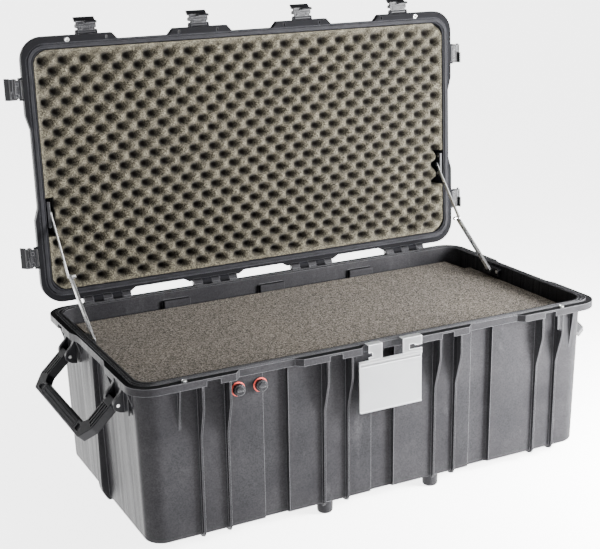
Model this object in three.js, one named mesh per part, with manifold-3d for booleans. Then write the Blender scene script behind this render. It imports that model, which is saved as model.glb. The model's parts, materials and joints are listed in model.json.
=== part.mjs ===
// Long hard transport case, standing on its feet with the lid open.
// Millimetres, +Z up. X runs along the case, -Y is the front (latch side), +Y the hinge side.
// The origin lies on the floor under the centre of the open case.
import * as THREE from 'three';
import { mergeVertices } from 'three/addons/utils/BufferGeometryUtils.js';
import Module from 'manifold-3d';

const wasm = await Module();
wasm.setup();

// ---------------------------------------------------------------- driving dimensions
const BODY_Y = -37;            // centre of the base, so that the open case is centred on the origin
const GAP = 0.3;               // clearance left between touching pieces

const FOOT_RADIUS = 17.5;      // round feet below the base
const FOOT_X = 137.5;
const FOOT_Y = 261;

const RIM_TOP = 388;           // mating plane of the base
const RIM_THICK = 19;
const RIM_UNDER = RIM_TOP - RIM_THICK;
const PAD = { x: 580, y: 313, corner: 54 };        // outline of the rim over its pads
const PLAIN = { x: 571, y: 298.5 };                // outline of the rim between the pads
const LID_BACK_Y = 304.5;                          // the same along the lid's hinge side
const LONG_DIPS = [[-360, -347, -220, -206], [-68, -55, 55, 68], [206, 220, 347, 360]];
const SHORT_DIP = [-136, -103, 80, 110];

const WALL = { x: 558.5, y: 285, corner: 44, draft: 7.5 };   // outside of the tub at the rim
const CAVITY = { x: 552, y: 278.5, corner: 38, draft: 9 };
const WALL_BOTTOM = 25;
const WALL_STRAIGHT = 34;      // the rounded lower edge ends here
const FLOOR = 32;
const CHANNEL = { xs: [-260, 0, 260], half: 29, depth: 12, wall: 6 };

const RIB_XS = [-433, -373, -148, -90, 132, 187, 412, 468];
const RIB_HALF = 2.6;
const RIB_DEPTH = 27;          // at the rim, from the wall
const RIB_LOW_DEPTH = 9;
const RIB_BEND_HIGH = 321;
const RIB_BEND_LOW = 251;
const RUNNER_Z = 19;           // the ribs carry on under the floor down to here
const GUSSET_XS = [-476, 512];
const END_GUSSET_YS = [-232, -100, 100, 232];
const END_RIB = { half: 13, x: 568, bottom: 20 };

const HINGE_XS = [-422, -137.5, 137.5, 422];
const HINGE_Y = 317;
const HINGE_Z = 390;
const KNUCKLE_RADIUS = 8.5;
const KNUCKLE_SWEEP = 9.7;     // room cut around a neighbour's knuckle
const HINGE_PIN_RADIUS = 3;
const BASE_KNUCKLES = [[-59, -37], [-11, 11], [37, 59]];
const LID_KNUCKLES = [[-36.4, -11.6], [11.6, 36.4]];

const LID_OPEN = 91.6;         // degrees from closed
const LID_FACE = RIM_TOP + 2.6;                    // mating plane of the lid when closed
const LID_DOME = { x: 561, y: 289, corner: 46 };
const LID_CAVITY = { x: 553, y: 284, corner: 36 };
const LID_TOP = LID_FACE + 55;
const LID_CEILING = LID_FACE + 48.4;
const GASKET = { x: 562, y: 291, corner: 38, half: 3.4, groove: 4, depth: 4 };
const LID_FOAM = { x: 551.5, y: 282.5, corner: 36, bottom: LID_FACE + 1 };
const BASE_FOAM = { x: 548, y: 264.5, corner: 26, top: 353 };
const STACK_CUP = { outer: 26, inner: 19.5, rise: 5 };

const LATCH_XS = [-420, -140, 140, 420];
const LATCH_YS = [-198, 198];
const LATCH_OFFSET = 5;        // pivot outside the pads
const LATCH_Z = LID_FACE + 7.5;
const LATCH_HALF = 24;
const LATCH_NECK = 21;
const EYELET = { x: 469, y: 303.2, outer: 5.6, inner: 4 };

const HANDLE_OUT = 46;         // degrees from hanging straight down
const HANDLE_PIVOT = { x: 575, z: 318, pin: 4 };
const HANDLE_ARM = { inner: 148, outer: 188, thick: 10 };

const VALVE_XS = [-346, -295.5];
const VALVE_Z = 339;

const STAY_BASE = { y: 75, z: 372 };               // pivots, seen along X
const STAY_ELBOW = { y: 224.9, z: 480.5 };         // with the lid open
const STAY_LID = { y: 98, z: 402 };                // with the lid closed
const STAY_LOWER_X = [532.1, 538.1];
const STAY_UPPER_X = [538.6, 541.6];
const STAY_BASE_PLATE_X = [539.2, 550.6];
const STAY_LID_PLATE_X = [542.6, 549.6];
const STAY_LOWER_HALF = 5.5;
const STAY_UPPER_HALF = 4.5;
const LID_NOTCH = { x: 530, y: [58, 152] };      // room in the lid foam for each stay
const BASE_NOTCH = { x: 520.5, y: [176, 272], z: 342 };

// ---------------------------------------------------------------- geometry helpers
const rad = THREE.MathUtils.degToRad;

function solidOf(geometry) {
  const bare = new THREE.BufferGeometry();
  bare.setAttribute('position', geometry.getAttribute('position').clone());
  if (geometry.index) bare.setIndex(geometry.index.clone());
  const merged = mergeVertices(bare, 1e-3);
  return new wasm.Manifold(new wasm.Mesh({
    numProp: 3,
    vertProperties: Float32Array.from(merged.getAttribute('position').array),
    triVerts: Uint32Array.from(merged.index.array),
  }));
}

function geometryOf(solid) {
  const mesh = solid.getMesh();
  const geometry = new THREE.BufferGeometry();
  geometry.setAttribute('position', new THREE.BufferAttribute(mesh.vertProperties, 3));
  geometry.setIndex(new THREE.BufferAttribute(mesh.triVerts, 1));
  geometry.computeVertexNormals();
  return geometry;
}

function join(...geometries) {
  return geometries.map(solidOf).reduce((all, next) => all.add(next));
}

// A span from a to b on the positive side, or its mirror image.
const mirrorSpan = (sign, a, b) => (sign > 0 ? [a, b] : [-b, -a]);

function box([x0, x1], [y0, y1], [z0, z1]) {
  const geometry = new THREE.BoxGeometry(x1 - x0, y1 - y0, z1 - z0);
  return geometry.translate((x0 + x1) / 2, (y0 + y1) / 2, (z0 + z1) / 2);
}

// An outline of [x, y] points, raised from z0 to z1.
function prismZ(points, [z0, z1]) {
  const shape = new THREE.Shape(points.map(([x, y]) => new THREE.Vector2(x, y)));
  const geometry = new THREE.ExtrudeGeometry(shape, { depth: z1 - z0, bevelEnabled: false });
  return geometry.translate(0, 0, z0);
}

// An outline of [y, z] points, run from x0 to x1.
function prismX(points, [x0, x1]) {
  const turn = new THREE.Matrix4().makeBasis(
    new THREE.Vector3(0, 1, 0), new THREE.Vector3(0, 0, 1), new THREE.Vector3(1, 0, 0));
  return prismZ(points, [x0, x1]).applyMatrix4(turn);
}

// An outline of [x, z] points, run from y0 to y1.
function prismY(points, [y0, y1]) {
  const turn = new THREE.Matrix4().makeBasis(
    new THREE.Vector3(1, 0, 0), new THREE.Vector3(0, 0, 1), new THREE.Vector3(0, -1, 0));
  return prismZ(points, [-y1, -y0]).applyMatrix4(turn);
}

function rodX(radius, [x0, x1], y, z, sides = 10) {
  const geometry = new THREE.CylinderGeometry(radius, radius, x1 - x0, sides);
  return geometry.rotateZ(-Math.PI / 2).translate((x0 + x1) / 2, y, z);
}

function rodY(radius, x, [y0, y1], z, sides = 12) {
  const geometry = new THREE.CylinderGeometry(radius, radius, y1 - y0, sides);
  return geometry.translate(x, (y0 + y1) / 2, z);
}

function rodZ(radius, x, y, [z0, z1], sides = 12) {
  const geometry = new THREE.CylinderGeometry(radius, radius, z1 - z0, sides);
  return geometry.rotateX(Math.PI / 2).translate(x, y, (z0 + z1) / 2);
}

// Corner points from the top of a side round to the start of the next one.
function cornerArc(centreU, centreV, radius, steps = 5) {
  return Array.from({ length: steps }, (unused, i) => {
    const angle = (Math.PI / 2) * (1 - (i + 0.5) / steps);
    const reach = radius / Math.cos(Math.PI / 4 / steps);
    return [centreU + reach * Math.cos(angle), centreV + reach * Math.sin(angle)];
  });
}

// The four sides of a plan, each drawn along u with v pointing out.
const PLAN_SIDES = [
  { long: true, place: ([u, v]) => [u, -v] },
  { long: false, place: ([u, v]) => [v, u] },
  { long: true, back: true, place: ([u, v]) => [-u, v] },
  { long: false, place: ([u, v]) => [-v, -u], flip: true },
];

function planPoints(halfX, halfY, corner, dipsFor = () => []) {
  return PLAN_SIDES.flatMap((side) => {
    const along = side.long ? halfX : halfY;
    const out = side.long ? halfY : halfX;
    const points = [
      [corner - along, out],
      ...dipsFor(side),
      [along - corner, out],
      ...cornerArc(along - corner, out - corner, corner),
    ];
    return points.map(side.place);
  });
}

// The rim's outline: proud over the pads, set back between them, but by backY on the hinge side.
function rimPlan(inset, backY) {
  const dipsFor = (side) => {
    if (side.back && backY === PAD.y) return [];
    const dips = side.long ? LONG_DIPS : [side.flip ? SHORT_DIP.map((v) => -v).reverse() : SHORT_DIP];
    const plainY = side.back ? backY : PLAIN.y;
    const high = (side.long ? PAD.y : PAD.x) - inset;
    const low = (side.long ? plainY : PLAIN.x) - inset;
    return dips.flatMap(([a, b, c, d]) => [
      [a - inset, high], [b - inset, low], [c + inset, low], [d + inset, high],
    ]);
  };
  return planPoints(PAD.x - inset, PAD.y - inset, PAD.corner - inset, dipsFor);
}

// A rounded block whose outline draws in by an inset at each level: [[z, inset], ...].
function loft({ x, y, corner }, levels) {
  const shape = new THREE.Shape(planPoints(x, y, corner).map(([u, v]) => new THREE.Vector2(u, v)));
  const steps = levels.length - 1;
  const geometry = new THREE.ExtrudeGeometry(shape, { depth: steps, steps, bevelEnabled: false });
  const at = geometry.getAttribute('position');
  for (let i = 0; i < at.count; i += 1) {
    const [z, inset] = levels[Math.round(at.getZ(i))];
    at.setX(i, at.getX(i) - Math.sign(at.getX(i)) * inset);
    at.setY(i, at.getY(i) - Math.sign(at.getY(i)) * inset);
    at.setZ(i, z);
  }
  return geometry;
}

// A ring between two rounded plans, centred on the plan {x, y, corner}.
function planRing({ x, y, corner }, half, span) {
  const outer = prismZ(planPoints(x + half, y + half, corner + half), span);
  const inner = prismZ(planPoints(x - half, y - half, corner - half), [span[0] - 1, span[1] + 1]);
  return geometryOf(solidOf(outer).subtract(solidOf(inner)));
}

function mirrorY(points) {
  return points.map(([y, z]) => [-y, z]);
}

// ---------------------------------------------------------------- materials and naming
const finishes = {
  shell: { color: 0x2b2b2e, roughness: 0.55, metalness: 0 },
  hardware: { color: 0x222326, roughness: 0.5, metalness: 0 },
  grip: { color: 0x1c1c1e, roughness: 0.75, metalness: 0 },
  gasket: { color: 0x2a2b2d, roughness: 0.8, metalness: 0 },
  baseFoam: { color: 0x6b6458, roughness: 1, metalness: 0 },
  lidFoam: { color: 0x7a745f, roughness: 1, metalness: 0 },
  steel: { color: 0xc4c4c2, roughness: 0.3, metalness: 1 },
  seal: { color: 0xc4473d, roughness: 0.6, metalness: 0 },
  clear: { color: 0xdadcdc, roughness: 0.2, metalness: 0 },
  card: { color: 0xe2e2e0, roughness: 0.8, metalness: 0 },
};

function piece(name, shape, finish) {
  const geometry = shape.isBufferGeometry ? shape : geometryOf(shape);
  const mesh = new THREE.Mesh(geometry, new THREE.MeshStandardMaterial(finishes[finish]));
  mesh.name = name;
  return mesh;
}

// ---------------------------------------------------------------- base
function wallY(z) {
  return WALL.y - WALL.draft * (RIM_TOP - z) / (RIM_TOP - WALL_STRAIGHT);
}

function tubOutside() {
  return loft(WALL, [
    [WALL_BOTTOM, WALL.draft + 7.5], [WALL_BOTTOM + 2.5, WALL.draft + 2.5], [WALL_STRAIGHT, WALL.draft],
    [RIM_TOP - 1, 0],
  ]);
}

function tubCavity() {
  return loft(CAVITY, [[FLOOR, CAVITY.draft + 8], [FLOOR + 6, CAVITY.draft], [RIM_TOP + 1, 0]]);
}

// The upright channels pressed into the long walls; the wall face moves in by `depth`.
function channelCutter(x, half, depth, reach) {
  const top = RIM_UNDER + 1;
  const bottom = WALL_BOTTOM - 5;
  const front = [
    [-wallY(top) + depth, top], [-wallY(top) - reach, top],
    [-wallY(bottom) - reach, bottom], [-wallY(bottom) + depth, bottom],
  ];
  const span = [x - half, x + half];
  return join(prismX(front, span), prismX(mirrorY(front), span));
}

function longRib(x) {
  const low = -wallY(60);
  const profile = [
    [low + 4, RIM_UNDER + 1], [-WALL.y - RIB_DEPTH, RIM_UNDER + 1], [-WALL.y - RIB_DEPTH, RIB_BEND_HIGH],
    [-wallY(RIB_BEND_LOW) - RIB_LOW_DEPTH, RIB_BEND_LOW], [low - RIB_LOW_DEPTH + 1, WALL_STRAIGHT],
    [low - 3, RUNNER_Z + 4], [low + 8, RUNNER_Z], [0, RUNNER_Z], [0, FLOOR - 3], [low + 4, FLOOR + 20],
  ];
  const span = [x - RIB_HALF, x + RIB_HALF];
  return join(prismX(profile, span), prismX(mirrorY(profile), span));
}

function longGusset(x) {
  const profile = [[-WALL.y + 3, RIM_UNDER + 1], [-WALL.y - 12, RIM_UNDER + 1], [-wallY(262) + 1, 262]];
  const span = [x - 2, x + 2];
  return join(prismX(profile, span), prismX(mirrorY(profile), span));
}

function endRib(side) {
  const profile = [
    [side * (WALL.x - 8), RIM_UNDER + 1], [side * END_RIB.x, RIM_UNDER + 1],
    [side * END_RIB.x, 58], [side * (END_RIB.x - 6), 36], [side * (WALL.x - 6), END_RIB.bottom],
    [side * (WALL.x - 30), END_RIB.bottom], [side * (WALL.x - 30), FLOOR - 3], [side * (WALL.x - 10), 60],
  ];
  return prismY(profile, [-END_RIB.half, END_RIB.half]);
}

function endGusset(side, y) {
  const profile = [
    [side * (WALL.x - 3), RIM_UNDER + 1], [side * (PAD.x - 8), RIM_UNDER + 1], [side * (WALL.x - 3), 318],
  ];
  return prismY(profile, [y - 2, y + 2]);
}

function knuckles(centreX, spans, web) {
  return spans.map(([a, b]) => {
    const span = [centreX + a, centreX + b];
    return join(rodX(KNUCKLE_RADIUS, span, HINGE_Y, HINGE_Z, 12), prismX(web, span));
  });
}

function sweptRoom(centreX, spans) {
  return spans.map(([a, b]) => {
    const span = [centreX + a - 0.6, centreX + b + 0.6];
    return solidOf(rodX(KNUCKLE_SWEEP, span, HINGE_Y, HINGE_Z, 12));
  });
}

function pinHole(centreX) {
  const span = [centreX - 64, centreX + 64];
  return solidOf(rodX(HINGE_PIN_RADIUS + GAP, span, HINGE_Y, HINGE_Z));
}

function addAll(solid, list) {
  return list.reduce((all, next) => all.add(next), solid);
}

function cutAll(solid, list) {
  return list.reduce((all, next) => all.subtract(next), solid);
}

// The gap in the rim's lip where a latch hook reaches under the rim.
function hookNotch(latch) {
  const heights = [RIM_UNDER - 1 - LATCH_Z, RIM_TOP - 7 - LATCH_Z];
  return solidOf(atLatch(box([-4.5, LATCH_HALF + 2], [2, LATCH_OFFSET + 6], heights), latch));
}

function baseShell() {
  const both = [-1, 1];
  const web = [
    [HINGE_Y - 12, RIM_UNDER + 3], [HINGE_Y - 3, RIM_UNDER + 3], [HINGE_Y + 7, HINGE_Z - 5],
    [HINGE_Y + 3, HINGE_Z], [HINGE_Y - 4, RIM_TOP], [HINGE_Y - 12, RIM_TOP],
  ];
  let shell = solidOf(tubOutside());
  shell = cutAll(shell, CHANNEL.xs.map((x) => channelCutter(x, CHANNEL.half, CHANNEL.depth, 20)));
  const flange = solidOf(prismZ(rimPlan(0, PAD.y), [RIM_UNDER, RIM_TOP]));
  const pocketOutside = solidOf(prismZ(rimPlan(4, PAD.y), [RIM_UNDER - 1, RIM_TOP - 7]));
  const tubPlan = planPoints(WALL.x - 3, WALL.y - 3, WALL.corner);
  const pocket = pocketOutside.subtract(solidOf(prismZ(tubPlan, [0, RIM_TOP])));
  shell = shell.add(flange.subtract(pocket));
  shell = addAll(shell, RIB_XS.map(longRib));
  shell = addAll(shell, GUSSET_XS.map(longGusset));
  shell = addAll(shell, both.map((side) => solidOf(endRib(side))));
  shell = addAll(shell, both.flatMap((side) => END_GUSSET_YS.map((y) => solidOf(endGusset(side, y)))));
  const feet = both.flatMap((sx) => both.map((sy) => (
    solidOf(rodZ(FOOT_RADIUS, sx * FOOT_X, sy * FOOT_Y, [0, FLOOR - 2], 16)))));
  shell = addAll(shell, feet);
  const bulge = CHANNEL.xs.map((x) => (
    channelCutter(x, CHANNEL.half + CHANNEL.wall, CHANNEL.depth + CHANNEL.wall, 30)));
  shell = shell.subtract(cutAll(solidOf(tubCavity()), bulge));
  shell = cutAll(shell, HINGE_XS.flatMap((x) => sweptRoom(x, LID_KNUCKLES)));
  shell = addAll(shell, HINGE_XS.flatMap((x) => knuckles(x, BASE_KNUCKLES, web)));
  shell = cutAll(shell, HINGE_XS.map(pinHole));
  const padlockHoles = both.flatMap((side) => [
    solidOf(rodZ(EYELET.outer + GAP, side * EYELET.x, -EYELET.y, [RIM_UNDER - 2, RIM_TOP + 1])),
    solidOf(rodZ(EYELET.outer + 2, side * EYELET.x, -EYELET.y, [RIM_UNDER - 40, RIM_UNDER])),
  ]);
  shell = cutAll(shell, padlockHoles);
  shell = cutAll(shell, LATCHES.map(hookNotch));
  return cutAll(shell, VALVE_XS.map((x) => solidOf(rodY(8.5, x, [-WALL.y - 5, -CAVITY.y + 20], VALVE_Z))));
}

function baseFoam() {
  const block = solidOf(loft(BASE_FOAM, [[FLOOR + GAP, 18], [FLOOR + 8, 8], [BASE_FOAM.top, 0]]));
  const notches = [-1, 1].map((side) => solidOf(box(
    mirrorSpan(side, BASE_NOTCH.x, BASE_FOAM.x + 5), BASE_NOTCH.y, [BASE_NOTCH.z, BASE_FOAM.top + 5])));
  return cutAll(block, notches);
}

function eyelet(side, span) {
  const ring = solidOf(rodZ(EYELET.outer, side * EYELET.x, -EYELET.y, span));
  const through = rodZ(EYELET.inner, side * EYELET.x, -EYELET.y, [span[0] - 1, span[1] + 1]);
  return ring.subtract(solidOf(through));
}

// ---------------------------------------------------------------- pressure valves
function valve(x) {
  const face = -wallY(VALVE_Z);
  const head = rodY(13.5, x, [face - 13, face - 3.4], VALVE_Z, 16);
  const cap = rodY(9.5, x, [face - 17, face - 12], VALVE_Z, 16);
  const stem = rodY(8, x, [face - 4, face + 14], VALVE_Z);
  return join(head, cap, stem);
}

function sealRing(x) {
  const face = -wallY(VALVE_Z);
  const disc = solidOf(rodY(15.5, x, [face - 3.1, face - 0.7], VALVE_Z, 20));
  return disc.subtract(solidOf(rodY(8.5, x, [face - 5, face + 1], VALVE_Z)));
}

// ---------------------------------------------------------------- card holder
const HOLDER = { x: [-77, 78], y: [-318, -314.4], z: [238, 356] };

function cardHolder() {
  const tabs = [[-53, -20], [32, 80]].map((span) => {
    const upright = box(span, [-316.6, -314.4], [350, RIM_TOP + 1.8]);
    const hook = box(span, [-316.6, -299], [RIM_TOP + 0.4, RIM_TOP + 1.8]);
    return join(upright, hook);
  });
  const ledge = box(HOLDER.x, [-320.5, -317], [351.5, 356]);
  const slot = solidOf(box([-75, 76], [-317, -315.8], [240, 347]));
  const mouth = solidOf(box([-75, 76], [-330, -315.8], [343, 349]));
  const notch = solidOf(box([48, 62], [-330, -300], [362, 374]));
  const body = addAll(join(box(HOLDER.x, HOLDER.y, HOLDER.z), ledge), tabs);
  return cutAll(body, [slot, mouth, notch]);
}

function card() {
  return box([-74.4, 75.4], [-316.7, -316.1], [240.4, 342]);
}

// ---------------------------------------------------------------- carrying handles
function handleBracket(side, end) {
  const { x, z, pin } = HANDLE_PIVOT;
  const back = [WALL.x + 0.4, WALL.x + 4];
  const bottom = z - 17;
  const top = z + 46;
  const cheek = [
    [back[0], bottom], [x - 2, bottom + 2], [x + 9, z - 8], [x + 11, z], [x + 8, z + 11],
    [x - 4, z + 24], [back[0], top],
  ].map(([u, v]) => [side * u, v]);
  const arm = HANDLE_ARM;
  const inner = prismY(cheek, mirrorSpan(end, arm.inner - 11, arm.inner - 0.6));
  const outer = prismY(cheek, mirrorSpan(end, arm.outer + 0.6, arm.outer + 11));
  const width = mirrorSpan(end, arm.inner - 11, arm.outer + 34);
  const plate = box(mirrorSpan(side, ...back), width, [bottom, top]);
  const hole = rodY(pin + GAP, side * x, mirrorSpan(end, arm.inner - 20, arm.outer + 20), z);
  return join(plate, inner, outer).subtract(solidOf(hole));
}

// The handle hangs straight down here, its pivot line along Y through the origin.
const GRIP = { half: 118, top: -74.5, bottom: -103.5, thick: 10.5 };
const GRIP_CORE = { top: -80, bottom: -98, thick: 6 };

function handleFrame() {
  const arm = [
    [HANDLE_ARM.inner, 6], [HANDLE_ARM.outer, 6], [HANDLE_ARM.outer, -71], [162, -103],
    [GRIP.half + GAP, -103], [GRIP.half + GAP, -75], [134, -75], [HANDLE_ARM.inner, -61],
  ];
  const span = [-HANDLE_ARM.thick, HANDLE_ARM.thick];
  const core = box([-GRIP_CORE.thick, GRIP_CORE.thick], [-GRIP.half - 5, GRIP.half + 5],
    [GRIP_CORE.bottom, GRIP_CORE.top]);
  const frame = join(prismX(arm, span), prismX(mirrorY(arm), span), core);
  return frame.subtract(solidOf(rodY(HANDLE_PIVOT.pin + GAP, 0, [-200, 200], 0)));
}

function handleGrip() {
  const { top, bottom, thick, half } = GRIP;
  const cut = 4;
  const section = [
    [-thick, top - cut], [-thick + cut, top], [thick - cut, top], [thick, top - cut],
    [thick, bottom + cut], [thick - cut, bottom], [-thick + cut, bottom], [-thick, bottom + cut],
  ];
  const bore = box([-GRIP_CORE.thick - GAP, GRIP_CORE.thick + GAP], [-half - 5, half + 5],
    [GRIP_CORE.bottom - GAP, GRIP_CORE.top + GAP]);
  return solidOf(prismY(section, [-half, half])).subtract(solidOf(bore));
}

function handlePin(side, end) {
  const span = mirrorSpan(end, HANDLE_ARM.inner - 10, HANDLE_ARM.outer + 10);
  return rodY(HANDLE_PIVOT.pin, side * HANDLE_PIVOT.x, span, HANDLE_PIVOT.z);
}

// ---------------------------------------------------------------- lid, drawn closed
const LATCHES = [
  ...LATCH_XS.map((x, i) => ({ name: `front_${i + 1}`, x, y: -PAD.y - LATCH_OFFSET, turn: 0 })),
  ...LATCH_YS.map((y, i) => ({ name: `left_${i + 1}`, x: -PAD.x - LATCH_OFFSET, y, turn: -90 })),
  ...LATCH_YS.map((y, i) => ({ name: `right_${i + 1}`, x: PAD.x + LATCH_OFFSET, y, turn: 90 })),
];

// Moves a geometry drawn about a latch's pivot, pointing to -Y, to where that latch sits.
function atLatch(geometry, { x, y, turn }) {
  return geometry.rotateZ(rad(turn)).translate(x, y, LATCH_Z);
}

function latchEars(latch) {
  const profile = [
    [LATCH_OFFSET + 3, -7], [0, -5.4], [-4, -4], [-5.2, 0], [-4, 4], [0, 6], [LATCH_OFFSET + 3, 7],
  ];
  const spans = [[-25.8, -LATCH_NECK - 0.6], [LATCH_NECK + 0.6, 25.8]];
  return spans.map((span) => solidOf(atLatch(prismX(profile, span), latch)));
}

// Pin holes in the ears, and the slots in the rim beside each latch.
function latchCuts(latch) {
  return [
    rodX(3.1, [-40, 40], 0, 0, 8),
    box([43, 48], [LATCH_OFFSET + 5, LATCH_OFFSET + 13], [-30, 20]),
    box([-56, -51], [LATCH_OFFSET + 5, LATCH_OFFSET + 13], [-30, 20]),
  ].map((cut) => solidOf(atLatch(cut, latch)));
}

function lidShell() {
  const both = [-1, 1];
  const web = [
    [HINGE_Y - 12, LID_FACE], [HINGE_Y, LID_FACE], [HINGE_Y + 6, HINGE_Z + 4],
    [HINGE_Y + 3, HINGE_Z + 8], [HINGE_Y - 12, LID_FACE + 16],
  ];
  const dome = solidOf(loft(LID_DOME, [
    [LID_FACE, 0], [LID_TOP - 14, 4], [LID_TOP - 4, 8], [LID_TOP, 15],
  ]));
  const bands = CHANNEL.xs.map((x) => (
    solidOf(box([x - 34, x + 34], [-262, 262], [LID_TOP - 3, LID_TOP + 3]))));
  const cupSpan = [LID_CEILING, LID_TOP + STACK_CUP.rise];
  const cups = both.flatMap((sx) => both.map((sy) => (
    solidOf(rodZ(STACK_CUP.outer, sx * FOOT_X, sy * FOOT_Y, cupSpan, 16)))));
  const recesses = both.flatMap((sx) => both.map((sy) => (
    solidOf(rodZ(STACK_CUP.inner, sx * FOOT_X, sy * FOOT_Y, [LID_TOP, LID_TOP + 9], 16)))));
  let lid = dome.add(solidOf(prismZ(rimPlan(0, LID_BACK_Y), [LID_FACE, LID_FACE + RIM_THICK])));
  lid = addAll(lid, [...bands, ...cups, ...LATCHES.flatMap(latchEars)]);
  lid = cutAll(lid, [...recesses, ...LATCHES.flatMap(latchCuts)]);
  lid = lid.subtract(solidOf(loft(LID_CAVITY, [
    [LID_FACE - 1, 0], [LID_CEILING - 5, 5], [LID_CEILING, 11],
  ])));
  lid = lid.subtract(solidOf(planRing(GASKET, GASKET.groove, [LID_FACE - 1, LID_FACE + GASKET.depth])));
  lid = cutAll(lid, HINGE_XS.flatMap((x) => sweptRoom(x, BASE_KNUCKLES)));
  lid = addAll(lid, HINGE_XS.flatMap((x) => knuckles(x, LID_KNUCKLES, web)));
  lid = cutAll(lid, HINGE_XS.map(pinHole));
  return cutAll(lid, both.map((side) => solidOf(
    rodZ(EYELET.outer + GAP, side * EYELET.x, -EYELET.y, [LID_FACE - 1, LID_FACE + RIM_THICK + 1]))));
}

function lidGasket() {
  return planRing(GASKET, GASKET.half, [LID_FACE - 2.2, LID_FACE + GASKET.depth - GAP]);
}

function lidFoam() {
  const levels = [[LID_FOAM.bottom, 0], [LID_CEILING - 8, 4.5], [LID_CEILING - GAP, 10]];
  const block = solidOf(loft(LID_FOAM, levels));
  const notches = [-1, 1].map((side) => (
    solidOf(box(mirrorSpan(side, LID_NOTCH.x, LID_FOAM.x + 5), LID_NOTCH.y, [LID_FACE, LID_TOP]))));
  return cutAll(block, notches);
}

// ---------------------------------------------------------------- latches, pointing to -Y
const LEVER_PIVOT = { y: -12.5, z: 8.5 };

function latchBody() {
  const plate = box([-LATCH_HALF, LATCH_HALF], [-25.5, -8.5], [-3, 3]);
  const neck = box([-LATCH_NECK, LATCH_NECK], [-9, 0], [-3, 3]);
  const barrel = rodX(4.6, [-LATCH_NECK, LATCH_NECK], 0, 0, 8);
  const trunnion = rodX(2.6, [-25.2, 25.2], 0, 0, 8);
  const claw = [[-18, 0], [-19.5, -8], [-19.5, -12], [-22.5, -12], [-25.5, -8], [-25.5, 3], [-22, 3]];
  const hook = prismX(claw, [-3, LATCH_HALF]);
  const rib = box([-LATCH_HALF, LATCH_HALF], [-14.5, -12], [-4.4, 0]);
  const lugs = [[-LATCH_HALF, -20.4], [20.4, LATCH_HALF]].map((span) => (
    prismX([[-18.5, 2], [-17, 10], [-13, 12.6], [-9.2, 11], [-8.5, 2]], span)));
  const hole = rodX(2.35, [-30, 30], LEVER_PIVOT.y, LEVER_PIVOT.z, 8);
  return join(plate, neck, barrel, trunnion, hook, rib, ...lugs).subtract(solidOf(hole));
}

function latchLever() {
  const { y, z } = LEVER_PIVOT;
  const barrel = rodX(4, [-19.8, 19.8], y, z, 8);
  const trunnion = rodX(2, [-LATCH_HALF + 0.4, LATCH_HALF - 0.4], y, z, 8);
  const blade = prismX([[y, z - 4], [-24, 4.6], [-24, 9.6], [y, z + 4]], [-19.8, 19.8]);
  const flap = prismX([[-22, 4.6], [-24.5, 4.6], [-33.5, 15.5], [-30.5, 18.5], [-22, 9.6]], [-25, 25]);
  return join(barrel, trunnion, blade, flap);
}

// ---------------------------------------------------------------- lid stays
// Where a point of the closed lid lies, as [y, z], when the lid is open.
function whenOpen({ y, z }) {
  const angle = rad(-LID_OPEN);
  const dy = y - HINGE_Y;
  const dz = z - HINGE_Z;
  return {
    y: HINGE_Y + dy * Math.cos(angle) - dz * Math.sin(angle),
    z: HINGE_Z + dy * Math.sin(angle) + dz * Math.cos(angle),
  };
}

// A flat bar with round ends between two pivots, as [y, z] points.
function barOutline(from, to, half) {
  const heading = Math.atan2(to.z - from.z, to.y - from.y);
  const end = ({ y, z }, start) => Array.from({ length: 7 }, (unused, i) => {
    const angle = start + (i / 6) * Math.PI;
    return [y + half * Math.cos(angle), z + half * Math.sin(angle)];
  });
  return [...end(to, heading - Math.PI / 2), ...end(from, heading + Math.PI / 2)];
}

function stayLower(side) {
  const span = mirrorSpan(side, ...STAY_LOWER_X);
  const bar = join(
    prismX(barOutline(STAY_BASE, STAY_ELBOW, STAY_LOWER_HALF), span),
    rodX(4.5, mirrorSpan(side, STAY_LOWER_X[0] - 9.4, STAY_LOWER_X[1]), STAY_ELBOW.y, STAY_ELBOW.z),
  );
  return bar.subtract(solidOf(rodX(3.3, mirrorSpan(side, 500, 545), STAY_BASE.y, STAY_BASE.z)));
}

function stayUpper(side) {
  const top = whenOpen(STAY_LID);
  const outline = barOutline(STAY_ELBOW, top, STAY_UPPER_HALF);
  const bar = solidOf(prismX(outline, mirrorSpan(side, ...STAY_UPPER_X)));
  return bar.subtract(solidOf(rodX(3.3, mirrorSpan(side, 500, 545), top.y, top.z)));
}

// A plate with two screw heads and a stud that a stay bar turns on.
function stayBracket(side, { y, z }, barX, plateX) {
  const plate = box(mirrorSpan(side, ...plateX), [y - 31, y + 31], [z - 11, z + 9]);
  const stud = rodX(3, mirrorSpan(side, barX[0] - 1.2, plateX[1] - 1), y, z);
  const head = rodX(5, mirrorSpan(side, barX[0] - 1.5, barX[0] - GAP), y, z);
  const screwSpan = mirrorSpan(side, plateX[0] - 0.6, plateX[0] + 1);
  const screws = [-24, 24].map((dy) => rodX(4, screwSpan, y + dy, z));
  return join(plate, stud, head, ...screws);
}

// ---------------------------------------------------------------- assembly
const caseGroup = new THREE.Group();
caseGroup.position.set(0, BODY_Y, 0);

caseGroup.add(
  piece('base_shell', baseShell(), 'shell'),
  piece('base_foam', baseFoam(), 'baseFoam'),
  piece('id_card_holder', cardHolder(), 'clear'),
  piece('id_card', card(), 'card'),
);
VALVE_XS.forEach((x, i) => {
  caseGroup.add(
    piece(`pressure_valve_${i + 1}`, valve(x), 'hardware'),
    piece(`valve_seal_${i + 1}`, sealRing(x), 'seal'),
  );
});
HINGE_XS.forEach((x, i) => {
  const pin = rodX(HINGE_PIN_RADIUS, [x - 60, x + 60], HINGE_Y, HINGE_Z);
  caseGroup.add(piece(`hinge_pin_${i + 1}`, pin, 'steel'));
});

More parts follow.
